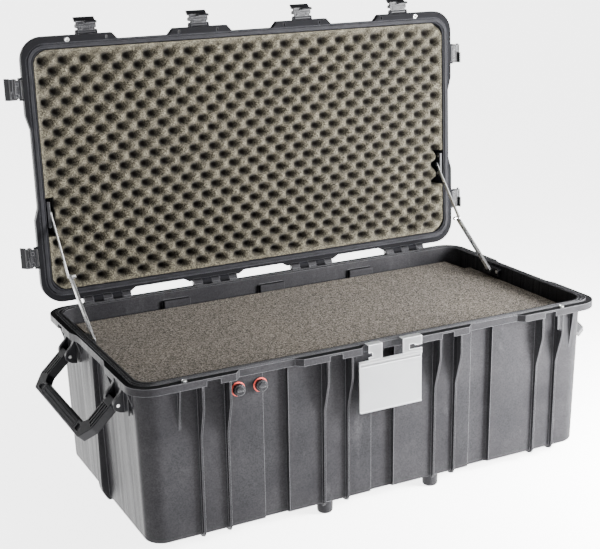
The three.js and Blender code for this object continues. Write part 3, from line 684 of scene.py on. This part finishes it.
def hook_notches():
    """The gaps in the rim's lip where the latch hooks reach under the rim."""
    heights = (RIM_UNDER - 1 - LATCH_Z, RIM_TOP - 7 - LATCH_Z)
    return [moved(box((-4.5, LATCH_HALF + 2), (2, LATCH_OFFSET + 6), heights, bevel=0.8),
                  at_latch(x, y, turn))
            for _, x, y, turn in latch_places()]


def base_shell():
    outside = lofted(WALL, rounded_levels(WALL_BOTTOM, WALL_STRAIGHT, WALL_DRAFT, 8) + [(RIM_TOP - 1, 0)])
    shell = cut(outside, [c for x in CHANNEL_XS
                          for c in channel(x, CHANNEL_HALF, CHANNEL_DEPTH, 20, 2.6)])
    flange = rim_block([(RIM_UNDER, 0.9), (RIM_UNDER + 0.9, 0), (RIM_TOP - 2.2, 0),
                        (RIM_TOP - 0.7, 0.6), (RIM_TOP, 2)], PAD[1])
    pocket = prism("z", rim_plan(4, PAD[1]), (RIM_UNDER - 1, RIM_TOP - 7))
    pocket = cut(pocket, [prism("z", plan(WALL[0] - 3, WALL[1] - 3, WALL[2]), (0, RIM_TOP))])
    shell = join(shell, [cut(flange, [pocket])])
    parts = [r for x in RIB_XS for r in long_rib(x)]
    parts += [g for x in GUSSET_XS for g in long_gusset(x)]
    parts += [end_rib(side) for side, _ in SIDES]
    parts += [end_gusset(side, y) for side, _ in SIDES for y in END_GUSSET_YS]
    parts += [foot(sx, sy) for sx in (-1, 1) for sy in (-1, 1)]
    shell = join(shell, parts)
    cavity = lofted(CAVITY, rounded_levels(FLOOR, FLOOR + 8, CAVITY_DRAFT, 8)
                    + [(RIM_TOP - 2.5, 0), (RIM_TOP - 0.6, -0.8), (RIM_TOP + 1, -3.4)])
    bulges = [c for x in CHANNEL_XS for c in channel(
        x, CHANNEL_HALF + CHANNEL_WALL, CHANNEL_DEPTH + CHANNEL_WALL, 30, 3)]
    shell = cut(shell, [cut(cavity, bulges)])
    grooves = [plan_ring(size, half, (RIM_TOP - deep, RIM_TOP + 1)) for size, half, deep in RIM_GROOVES]
    shell = cut(shell, [pad_steps(RIM_TOP - 2.6, RIM_TOP + 4)] + grooves)
    shell = cut(shell, hook_notches())
    shell = cut(shell, [r for x in HINGE_XS for r in knuckle_room(x, LID_KNUCKLES)])
    web = [(HINGE_Y - 12, RIM_UNDER + 3), (HINGE_Y - 3, RIM_UNDER + 3), (HINGE_Y + 7, HINGE_Z - 5),
           (HINGE_Y + 3, HINGE_Z), (HINGE_Y - 4, RIM_TOP), (HINGE_Y - 12, RIM_TOP)]
    shell = join(shell, [k for x in HINGE_XS for k in knuckles(x, BASE_KNUCKLES, web)])
    shell = cut(shell, pin_holes())
    holes = []
    for side, _ in SIDES:
        spot = (side * EYELET_X, -EYELET_Y)
        holes.append(rod("z", spot, EYELET_BORE, (RIM_UNDER - 2, RIM_TOP + 1), edge=0.1))
        holes.append(rod("z", spot, 7.6, (RIM_UNDER - 40, RIM_UNDER), edge=0.1))
    holes += [rod("y", (x, VALVE_Z), VALVE_BORE, (-WALL[1] - 5, -CAVITY[1] + 20), edge=0.1)
              for x in VALVE_XS]
    shell = cut(shell, holes)
    place(shell, "moulded_base", "base", "shell", AT_BASE, ["base_shell"])


# ------------------------ foams
FOAM_PITCH = (52.0, 47.4)      # pits along X and Y; alternate rows are shifted by half of it
PIT_DEPTH = 26
PIT_PHASE = (12.0, -20.0)


def egg_crate(u, v):
    """0 on a crest and 1 at the bottom of a pit."""
    wave = (cos(2 * pi * (u - PIT_PHASE[0]) / FOAM_PITCH[0])
            * cos(2 * pi * (v - PIT_PHASE[1]) / FOAM_PITCH[1]))
    return ((1 - wave) / 2) ** 1.35


def height_block(half_x, half_y, step, height, back):
    """A block whose face is a height field over a grid and whose back is flat."""
    columns, rows = round(2 * half_x / step), round(2 * half_y / step)
    xs = [-half_x + 2 * half_x * i / columns for i in range(columns + 1)]
    ys = [-half_y + 2 * half_y * j / rows for j in range(rows + 1)]
    verts = [(x, y, height(x, y)) for y in ys for x in xs]
    wide = columns + 1
    faces = [(j * wide + i, j * wide + i + 1, (j + 1) * wide + i + 1, (j + 1) * wide + i)
             for j in range(rows) for i in range(columns)]
    edge = list(range(wide))
    edge += [j * wide + columns for j in range(1, rows + 1)]
    edge += [rows * wide + i for i in range(columns - 1, -1, -1)]
    edge += [j * wide for j in range(rows - 1, 0, -1)]
    first = len(verts)
    verts += [(verts[i][0], verts[i][1], back) for i in edge]
    count = len(edge)
    for k in range(count):
        n = (k + 1) % count
        faces.append((edge[k], edge[n], first + n, first + k))
    faces.append(tuple(range(first, first + count)))
    return solid(verts, faces)


def lid_foam():
    half_x, half_y, _ = LID_FOAM
    face = LID_FACE + 1.2

    def depth(x, y):
        """How deep the face is, from 0 to 1: the pits run out shallow at the foam's edge."""
        margin = min(half_x - abs(x), half_y - abs(y))
        return egg_crate(x, y) * min(max(margin / 16, 0), 1)

    def height(x, y):
        return face + 0.4 + noise.noise((x * 0.05, y * 0.05, 3)) * 0.4 + PIT_DEPTH * depth(x, y)

    block = height_block(half_x + 8, half_y + 8, 3.6, height, LID_CEILING - 0.4)
    trim = lofted(LID_FOAM, [(LID_FACE, 0), (LID_CEILING - 8, 4.5), (LID_CEILING - 0.3, 10)])
    join(block, [trim], "INTERSECT")
    notches = [box(span_on(side, *LID_NOTCH_X), LID_NOTCH_Y, (LID_FACE, LID_TOP)) for side, _ in SIDES]
    cut(block, notches)
    # the pit attribute drives the painted shade in the pits; the flat back is given 0.6
    pit = block.data.attributes.new("pit", "FLOAT", "POINT")
    for i, vertex in enumerate(block.data.vertices):
        x, y, z = vertex.co
        pit.data[i].value = depth(x, y) if z < LID_CEILING - 4 else 0.6
    piece = place(block, "egg_crate_lining", "lid", "lid_foam", AT_LID, ["lid_foam"], smooth=60)


def base_foam():
    top = BASE_FOAM_TOP
    body = lofted(BASE_FOAM, [(FLOOR + 0.3, 18), (FLOOR + 8, 8), (top - 5, 0.1),
                              (top - 1.6, 0.9), (top - 0.4, 3.2), (top, 6)])
    notches = [box(span_on(side, *BASE_NOTCH_X), BASE_NOTCH_Y, (BASE_NOTCH_Z, top + 5))
               for side, _ in SIDES]
    cut(body, notches)
    piece = place(body, "flat_lining", "base", "base_foam", AT_BASE, ["base_foam"])


# ------------------------ lid
def latch_ears(x, y, turn):
    root = LATCH_OFFSET + 3
    outline = [(root, -7), (0, -5.4), (-4, -4), (-5.2, 0), (-4, 4), (0, 6), (root, 7)]
    spans = ((-25.8, -LATCH_NECK - 0.6), (LATCH_NECK + 0.6, 25.8))
    return [moved(prism("x", outline, span, bevel=0.7), at_latch(x, y, turn)) for span in spans]


def latch_cuts(x, y, turn):
    """The pin's hole, and beside the front latches two slots through the pad."""
    parts = [rod("x", (0, 0), 3.1, (-40, 40), edge=0.1, sides=16)]
    if turn == 0:
        parts += [box(span, (LATCH_OFFSET + 5, LATCH_OFFSET + 13), (-30, 20))
                  for span in ((43, 48), (-56, -51))]
    return [moved(part, at_latch(x, y, turn)) for part in parts]


def lid_shell():
    dome = lofted(LID_DOME, [(LID_FACE, 0), (LID_TOP - 16, 3.6), (LID_TOP - 10, 4.8), (LID_TOP - 6, 6.4),
                             (LID_TOP - 3, 9), (LID_TOP - 1, 12), (LID_TOP, 16)])
    bands = [box((x - 34, x + 34), (-262, 262), (LID_TOP - 3, LID_TOP + 3), bevel=2, segments=3)
             for x in CHANNEL_XS]
    cups, recesses = [], []
    for sx in (-1, 1):
        for sy in (-1, 1):
            spot = (sx * FOOT_X, sy * FOOT_Y)
            cups.append(turned("z", spot, [(LID_CEILING, 26), (LID_TOP + 3.4, 26), (LID_TOP + 4.6, 25.2),
                                           (LID_TOP + 5, 24)]))
            recesses.append(turned("z", spot, [(LID_TOP, 18.6), (LID_TOP + 1, 19.5), (LID_TOP + 9, 19.8)]))
    rim = rim_block([(LID_FACE, 1.6), (LID_FACE + 0.6, 0.5), (LID_FACE + 1.8, 0), (LID_FACE + 17, 0),
                     (LID_FACE + 18.4, 0.6), (LID_FACE + 19, 2)], LID_BACK_Y)
    spots = latch_places()
    ears = [ear for _, x, y, turn in spots for ear in latch_ears(x, y, turn)]
    lid = join(dome, [rim] + bands + cups + ears)
    lid = cut(lid, recesses + [c for _, x, y, turn in spots for c in latch_cuts(x, y, turn)])
    inside = lofted(LID_CAVITY, [(LID_FACE - 1, -2), (LID_FACE + 1.6, 0), (LID_CEILING - 8, 5),
                                 (LID_CEILING - 2, 8), (LID_CEILING, 13)])
    grooves = [plan_ring(GASKET, 4, (LID_FACE - 1, LID_FACE + 4)),
               plan_ring(LID_GROOVE, 0.7, (LID_FACE - 1, LID_FACE + 1.8))]
    lid = cut(lid, [inside] + grooves)
    lid = cut(lid, [r for x in HINGE_XS for r in knuckle_room(x, BASE_KNUCKLES)])
    web = [(HINGE_Y - 12, LID_FACE), (HINGE_Y, LID_FACE), (HINGE_Y + 6, HINGE_Z + 4),
           (HINGE_Y + 3, HINGE_Z + 8), (HINGE_Y - 12, LID_FACE + 16)]
    lid = join(lid, [k for x in HINGE_XS for k in knuckles(x, LID_KNUCKLES, web)])
    holes = [rod("z", (side * EYELET_X, -EYELET_Y), EYELET_BORE, (LID_FACE - 1, LID_FACE + 20), edge=0.1)
             for side, _ in SIDES]
    lid = cut(lid, pin_holes() + holes)
    place(lid, "moulded_lid", "lid", "shell", AT_LID, ["lid_shell"], finish="lid_shell")


def lid_gasket():
    ring = plan_ring(GASKET, 3.4, (LID_FACE - 2.2, LID_FACE + 3.7), edge=1.1)
    place(ring, "lid_seal_strip", "lid", "gasket", AT_LID, ["lid_gasket"])


# ------------------------ latches, pointing to -Y
def latch_body():
    plate = box((-LATCH_HALF, LATCH_HALF), (-25.5, -8.5), (-3, 3), bevel=0.9)
    claw = [(-18, 0), (-19.5, -8), (-19.5, -12), (-22.5, -12), (-25.5, -8), (-25.5, 3), (-22, 3)]
    parts = [
        box((-LATCH_NECK, LATCH_NECK), (-9, 0), (-3, 3), bevel=0.5),
        rod("x", (0, 0), 4.6, (-LATCH_NECK, LATCH_NECK), edge=0.8),
        rod("x", (0, 0), 2.6, (-25.2, 25.2), edge=0.4, sides=20),
        prism("x", claw, (-3, LATCH_HALF), bevel=0.8),
        box((-LATCH_HALF, LATCH_HALF), (-14.5, -12), (-4.4, 0), bevel=0.7),
        box((-17, -10), (-12, -5), (-4.3, 0), bevel=0.6),
        box((8, 15), (-12, -5), (-4.3, 0), bevel=0.6),
    ]
    lug = [(-18.5, 2), (-17, 10), (-15, 12), (-13, 12.6), (-11, 12.3), (-9.2, 11), (-8.5, 2)]
    parts += [prism("x", lug, span, bevel=0.6)
              for span in ((-LATCH_HALF, -20.4), (20.4, LATCH_HALF))]
    body = join(plate, parts)
    return cut(body, [
        rod("x", (LEVER_Y, LEVER_Z), 2.35, (-30, 30), edge=0.1, sides=20),
        box((-21, -6), (-23.5, -17), (-4, -1.2), bevel=0.6),
    ])


def latch_lever():
    y, z = LEVER_Y, LEVER_Z
    flap = [(-22, 4.6), (-24.5, 4.6), (-29, 9.6), (-33.5, 15.5),
            (-33.2, 17), (-30.5, 18.5), (-25.8, 13.4), (-22, 9.6)]
    parts = [
        rod("x", (y, z), 2, (-LATCH_HALF + 0.4, LATCH_HALF - 0.4), edge=0.3, sides=20),
        prism("x", [(y, z - 4), (-24, 4.6), (-24, 9.6), (y, z + 4)], (-19.8, 19.8), bevel=0.5),
        prism("x", flap, (-25, 25), bevel=0.8, limit=35),
    ]
    return join(rod("x", (y, z), 4, (-19.8, 19.8), edge=0.6, sides=24), parts)


def latches():
    sources = {"latch": latch_body(), "latch_lever": latch_lever()}
    meshes = {part: source.data for part, source in sources.items()}
    for source in sources.values():
        bpy.data.objects.remove(source)
    for name, x, y, turn in latch_places():
        spot = AT_LID @ at_latch(x, y, turn)
        for part, data in meshes.items():
            place(new_object(part, data.copy()), f"{part}_{name}_moulding", f"{part}_{name}", "hardware",
                  spot, [f"{part}_{name}"])


# ------------------------ handles
def handle_bracket(side, end):
    x, z = HANDLE_X, HANDLE_Z
    back, front = WALL[0] + 0.4, WALL[0] + 4
    bottom, top = z - 17, z + 46
    cheek = [(back, bottom), (x - 4, bottom + 1.4), (x + 3, bottom + 5), (x + 9, z - 8), (x + 11, z),
             (x + 10.4, z + 6), (x + 8, z + 11), (x + 2, z + 18), (x - 4, z + 24), (back, top)]
    cheek = [(side * u, v) for u, v in cheek]
    parts = [prism("y", cheek, span_on(end, ARM_INNER - 11, ARM_INNER - 0.6), bevel=1.2, limit=30),
             prism("y", cheek, span_on(end, ARM_OUTER + 0.6, ARM_OUTER + 11), bevel=1.2, limit=30)]
    plate = box(span_on(side, back, front), span_on(end, ARM_INNER - 11, ARM_OUTER + 34),
                (bottom, top), bevel=1)
    bracket = join(plate, parts)
    hole = rod("y", (side * x, z), 4.3, span_on(end, ARM_INNER - 20, ARM_OUTER + 20), edge=0.1)
    return cut(bracket, [hole])


def handle_frame():
    """The handle hangs straight down here, its pivot line along Y through the origin."""
    arm = [(ARM_INNER, 6), (ARM_OUTER, 6), (ARM_OUTER, -68), (186, -73), (164, -101), (159, -103),
           (118.3, -103), (118.3, -75), (132, -75), (135.6, -74), (146, -64), (ARM_INNER, -60)]
    arms = []
    for outline in (arm, mirror_y(arm)):
        sign = 1 if outline is arm else -1
        part = prism("x", outline, (-ARM_THICK, ARM_THICK), bevel=1.6, segments=3, limit=20)
        for offset in (8, 19, 30):
            y, end = ARM_INNER + offset, -60 - offset * 0.3
            grooves = [box(span, sorted((sign * (y - 3.2), sign * (y + 3.2))), (end, -14))
                       for span in ((ARM_THICK - 4, ARM_THICK + 3), (-ARM_THICK - 3, 4 - ARM_THICK))]
            part = cut(part, grooves)
        window = [(sign * y, z) for y, z in ((124, -81), (138, -81), (150, -89), (146, -96), (124, -96))]
        part = cut(part, [prism("x", window, (ARM_THICK - 3, ARM_THICK + 3), bevel=0.6),
                          prism("x", window, (-ARM_THICK - 3, 3 - ARM_THICK), bevel=0.6)])
        arms.append(part)
    core = box((-CORE_HALF, CORE_HALF), (-GRIP_HALF - 5, GRIP_HALF + 5), CORE_Z, bevel=0.6)
    return cut(join(core, arms), [rod("y", (0, 0), 4.3, (-200, 200), edge=0.1)])


def handle_grip():
    """A rounded sleeve with grooves along it."""
    half, thick, power, sides = GRIP_HALF, GRIP_THICK, 0.42, 96
    middle, reach = (GRIP_TOP + GRIP_BOTTOM) / 2, (GRIP_TOP - GRIP_BOTTOM) / 2
    outline = []
    for i in range(sides):
        angle = 2 * pi * i / sides
        u = copysign(abs(cos(angle)) ** power, cos(angle))
        v = copysign(abs(sin(angle)) ** power, sin(angle))
        outline.append((u, v))
    rings = [[(u * (thick - draw), y, middle + v * (reach - draw)) for u, v in outline]
             for y, draw in ((-half, 1.4), (1.4 - half, 0), (half - 1.4, 0), (half, 1.4))]
    grip = stack(rings)
    grooves = []
    for z in (middle - 7.5, middle, middle + 7.5):
        grooves += [box(span, (6 - half, half - 6), (z - 1.2, z + 1.2), bevel=0.4)
                    for span in ((thick - 1.6, thick + 2), (-thick - 2, 1.6 - thick))]
    grooves += [box((x - 1.2, x + 1.2), (6 - half, half - 6), (GRIP_BOTTOM - 2, GRIP_BOTTOM + 1.4),
                    bevel=0.4) for x in (-4, 4)]
    wide = CORE_HALF + CORE_GAP
    bore = box((-wide, wide), (-half - 5, half + 5), (CORE_Z[0] - CORE_GAP, CORE_Z[1] + CORE_GAP))
    return cut(grip, grooves + [bore])


def handles():
    for side, word in SIDES:
        spot = AT_BASE @ Matrix.Translation((side * HANDLE_X, 0, HANDLE_Z))
        spot = spot @ Matrix.Rotation(radians(-side * HANDLE_OUT), 4, "Y")
        place(handle_frame(), f"handle_arms_{word}", f"handle_{word}", "hardware", spot,
              [f"handle_frame_{word}"])
        place(handle_grip(), f"handle_sleeve_{word}", f"handle_{word}", "grip_rubber", spot,
              [f"handle_grip_{word}"])
        for end, where in ((-1, "front"), (1, "back")):
            place(handle_bracket(side, end), f"handle_mount_{word}_{where}", "base", "hardware", AT_BASE,
                  [f"handle_bracket_{word}_{where}"])
            reach = span_on(end, ARM_INNER - 10, ARM_OUTER + 10)
            pin = rod("y", (side * HANDLE_X, HANDLE_Z), 4, reach, edge=0.8)
            place(pin, f"handle_axle_{word}_{where}", "base", "steel", AT_BASE,
                  [f"handle_pin_{word}_{where}"])


# ------------------------ small fittings
def valves():
    for index, x in enumerate(VALVE_XS):
        face = -wall_y(VALVE_Z)
        head = turned("y", (x, VALVE_Z), [(face - 13, 11.6), (face - 12, 13), (face - 11, 13.5),
                                          (face - 4.4, 13.5), (face - 3.4, 12.8)])
        flutes = []
        for i in range(12):
            angle = 2 * pi * i / 12
            spot = (x + 14.6 * cos(angle), VALVE_Z + 14.6 * sin(angle))
            flutes.append(rod("y", spot, 2.3, (face - 15, face - 2), edge=0.1, sides=12))
        head = cut(head, flutes)
        cap = turned("y", (x, VALVE_Z), [(face - 17, 7.6), (face - 16.6, 8.8), (face - 15.6, 9.5),
                                         (face - 12, 9.5)])
        cap = cut(cap, [box((x - 6, x + 6), (face - 19, face - 15.4), (VALVE_Z - 1.2, VALVE_Z + 1.2))])
        head = join(head, [cap, rod("y", (x, VALVE_Z), 8, (face - 4, face + 14))])
        place(head, f"purge_knob_{index + 1}", "base", "hardware", AT_BASE, [f"pressure_valve_{index + 1}"])
        ring = turned("y", (x, VALVE_Z), [(face - 3.1, 14.6), (face - 2.4, 15.5), (face - 1.4, 15.5),
                                          (face - 0.7, 14.8)])
        ring = cut(ring, [rod("y", (x, VALVE_Z), VALVE_BORE, (face - 5, face + 1), edge=0.1)])
        place(ring, f"purge_seal_{index + 1}", "base", "red_seal", AT_BASE, [f"valve_seal_{index + 1}"])


def hinge_pins():
    for index, x in enumerate(HINGE_XS):
        pin = turned("x", (HINGE_Y, HINGE_Z), [(x - 60, 1.6), (x - 59.2, 2.6), (x - 58, PIN_RADIUS),
                                               (x + 58, PIN_RADIUS), (x + 59.2, 2.6), (x + 60, 1.6)])
        place(pin, f"hinge_rod_{index + 1}", "base", "steel", AT_BASE, [f"hinge_pin_{index + 1}"])


def eyelet(side, span):
    low, high = span
    ring = turned("z", (side * EYELET_X, -EYELET_Y), [
        (low, 4.8), (low + 0.6, 5.6), (high - 0.6, 5.6), (high, 4.8)])
    return cut(ring, [turned("z", (side * EYELET_X, -EYELET_Y), [
        (low - 1, 4.9), (low + 0.9, 4), (high - 0.9, 4), (high + 1, 4.9)])])


def eyelets():
    for side, word in SIDES:
        low = eyelet(side, (RIM_UNDER - 1.5, RIM_TOP + 0.6))
        place(low, f"padlock_eye_base_{word}", "base", "steel", AT_BASE, [f"base_eyelet_{word}"])
        high = eyelet(side, (LID_FACE - 0.6, LID_FACE + 20.5))
        place(high, f"padlock_eye_lid_{word}", "lid", "steel", AT_LID, [f"lid_eyelet_{word}"])


def card_holder():
    low, high = CARD_Z
    plate = box(CARD_X, (-318, -314.4), CARD_Z, bevel=0.6)
    parts = [box(CARD_X, (-320.5, -317), (high - 4.5, high), bevel=0.8),
             box(CARD_X, (-319.2, -317), (low, low + 3), bevel=0.6)]
    for span in ((-53, -20), (32, 80)):
        upright = box(span, (-316.6, -314.4), (350, RIM_TOP + 1.8), bevel=0.4)
        parts.append(join(upright, [box(span, (-316.6, -299), (RIM_TOP + 0.4, RIM_TOP + 1.8), bevel=0.4)]))
    holder = join(plate, parts)
    holder = cut(holder, [
        box((-75, 76), (-317, -315.8), (240, 347)),
        box((-75, 76), (-330, -315.8), (343, 349)),
        box((48, 62), (-330, -300), (362, 374), bevel=1),
        box((62, 90), (-330, -300), (362, 370)),
        box((-60, -44), (-330, -300), (362, 372), bevel=1),
    ])
    place(holder, "card_pocket", "base", "clear_plastic", AT_BASE, ["id_card_holder"])
    card = box((-74.4, 75.4), (-316.7, -316.1), (240.4, 342), bevel=0.1)
    place(card, "blank_label_card", "base", "card", AT_BASE, ["id_card"])


# ------------------------ lid stays
def when_open(y, z):
    angle = radians(-LID_OPEN)
    dy, dz = y - HINGE_Y, z - HINGE_Z
    return (HINGE_Y + dy * cos(angle) - dz * sin(angle),
            HINGE_Z + dy * sin(angle) + dz * cos(angle))


def bar_outline(start, end, half, steps=12):
    heading = atan2(end[1] - start[1], end[0] - start[0])
    outline = []
    for (y, z), first in ((end, heading - pi / 2), (start, heading + pi / 2)):
        for i in range(steps + 1):
            angle = first + pi * i / steps
            outline.append((y + half * cos(angle), z + half * sin(angle)))
    return outline


def stay_bracket(side, spot, bar_x, plate_x):
    y, z = spot
    outline = ((-31, -11), (31, -11), (31, 4), (27, 9), (-27, 9), (-31, 4))
    plate = prism("x", [(y + dy, z + dz) for dy, dz in outline], span_on(side, *plate_x), bevel=1.2)
    stud = rod("x", spot, 3, span_on(side, bar_x[0] - 1.2, plate_x[1] - 1), edge=0.4)
    head = rod("x", spot, 5, span_on(side, bar_x[0] - 1.5, bar_x[0] - 0.3), edge=0.5)
    return join(plate, [stud, head])


def stay_screw(side, y, z, face_x):
    """A domed screw head let into the bracket's face."""
    profile = [(0, 4.4), (0.2, 4), (0.45, 3), (0.6, 1.6)]
    ordered = [(side * (face_x - rise), radius) for rise, radius in profile]
    ordered = [(side * (face_x + 4), 3.4), (side * (face_x + 0.4), 4.4)] + ordered
    return turned("x", (y, z), ordered)


def stays():
    top = when_open(*STAY_LID)
    for side, word in SIDES:
        lower = prism("x", bar_outline(STAY_BASE, STAY_ELBOW, STAY_LOWER_HALF),
                      span_on(side, *STAY_LOWER_X), bevel=0.5, limit=40)
        knob = rod("x", STAY_ELBOW, 4.5, span_on(side, STAY_LOWER_X[0] - 9.4, STAY_LOWER_X[1]), edge=1)
        lower = join(lower, [knob])
        lower = cut(lower, [rod("x", STAY_BASE, 3.3, span_on(side, 500, 545), edge=0.1)])
        body = f"stay_lower_{word}"
        place(lower, f"stay_bar_low_{word}", body, "steel", AT_BASE, [body])
        upper = prism("x", bar_outline(STAY_ELBOW, top, STAY_UPPER_HALF),
                      span_on(side, *STAY_UPPER_X), bevel=0.5, limit=40)
        upper = cut(upper, [rod("x", top, 3.3, span_on(side, 500, 545), edge=0.1)])
        body = f"stay_upper_{word}"
        place(upper, f"stay_bar_high_{word}", body, "steel", AT_BASE, [body])
        for part, spot, bar_x, plate_x, body, matrix in (
                ("base", STAY_BASE, STAY_LOWER_X, STAY_BASE_PLATE_X, "base", AT_BASE),
                ("lid", STAY_LID, STAY_UPPER_X, STAY_LID_PLATE_X, "lid", AT_LID)):
            bracket = stay_bracket(side, spot, bar_x, plate_x)
            place(bracket, f"stay_mount_{part}_{word}", body, "hardware", matrix,
                  [f"stay_{part}_bracket_{word}"])
            for number, dy in enumerate((-24, 24)):
                screw = stay_screw(side, spot[0] + dy, spot[1], plate_x[0])
                name = f"stay_screw_{part}_{word}_{number + 1}"
                place(screw, name, body, "steel", matrix, [f"stay_{part}_bracket_{word}"])


# ------------------------ scene
def floor():
    half = 40
    outline = [(-half, -half), (half, -half), (half, half), (-half, half)]
    data = bpy.data.meshes.new("floor")
    data.from_pydata([(x, y, -0.0004) for x, y in outline], [], [(0, 1, 2, 3)])
    piece = new_object("floor", data)
    finish = Finish("floor_paper")
    finish.colour(finish.ramp(finish.noise(3, 3, 0.5), (
        (0.3, (0.88, 0.88, 0.88)), (0.7, (0.92, 0.92, 0.92)))))
    finish.set(Roughness=0.9, Specular_IOR_Level=0.1, Emission_Color=(1, 1, 1, 1),
               Emission_Strength=FLOOR_GLOW)
    data.materials.append(finish.material)


add_camera()
add_world(ROOM_GLOW, FLOOR_GLOW)
add_soft_box("front_right", (1.3, -1.15, 0.6), (0.6, -0.3, 0.15), (0.6, 0.9), 320)
add_soft_box("overhead", (0.9, -0.9, 2.8), (0.3, 0, 0.4), (1.4, 1.2), 45)
floor()
base_shell()
base_foam()
lid_shell()
lid_gasket()
lid_foam()
latches()
handles()
valves()
hinge_pins()
eyelets()
card_holder()
stays()
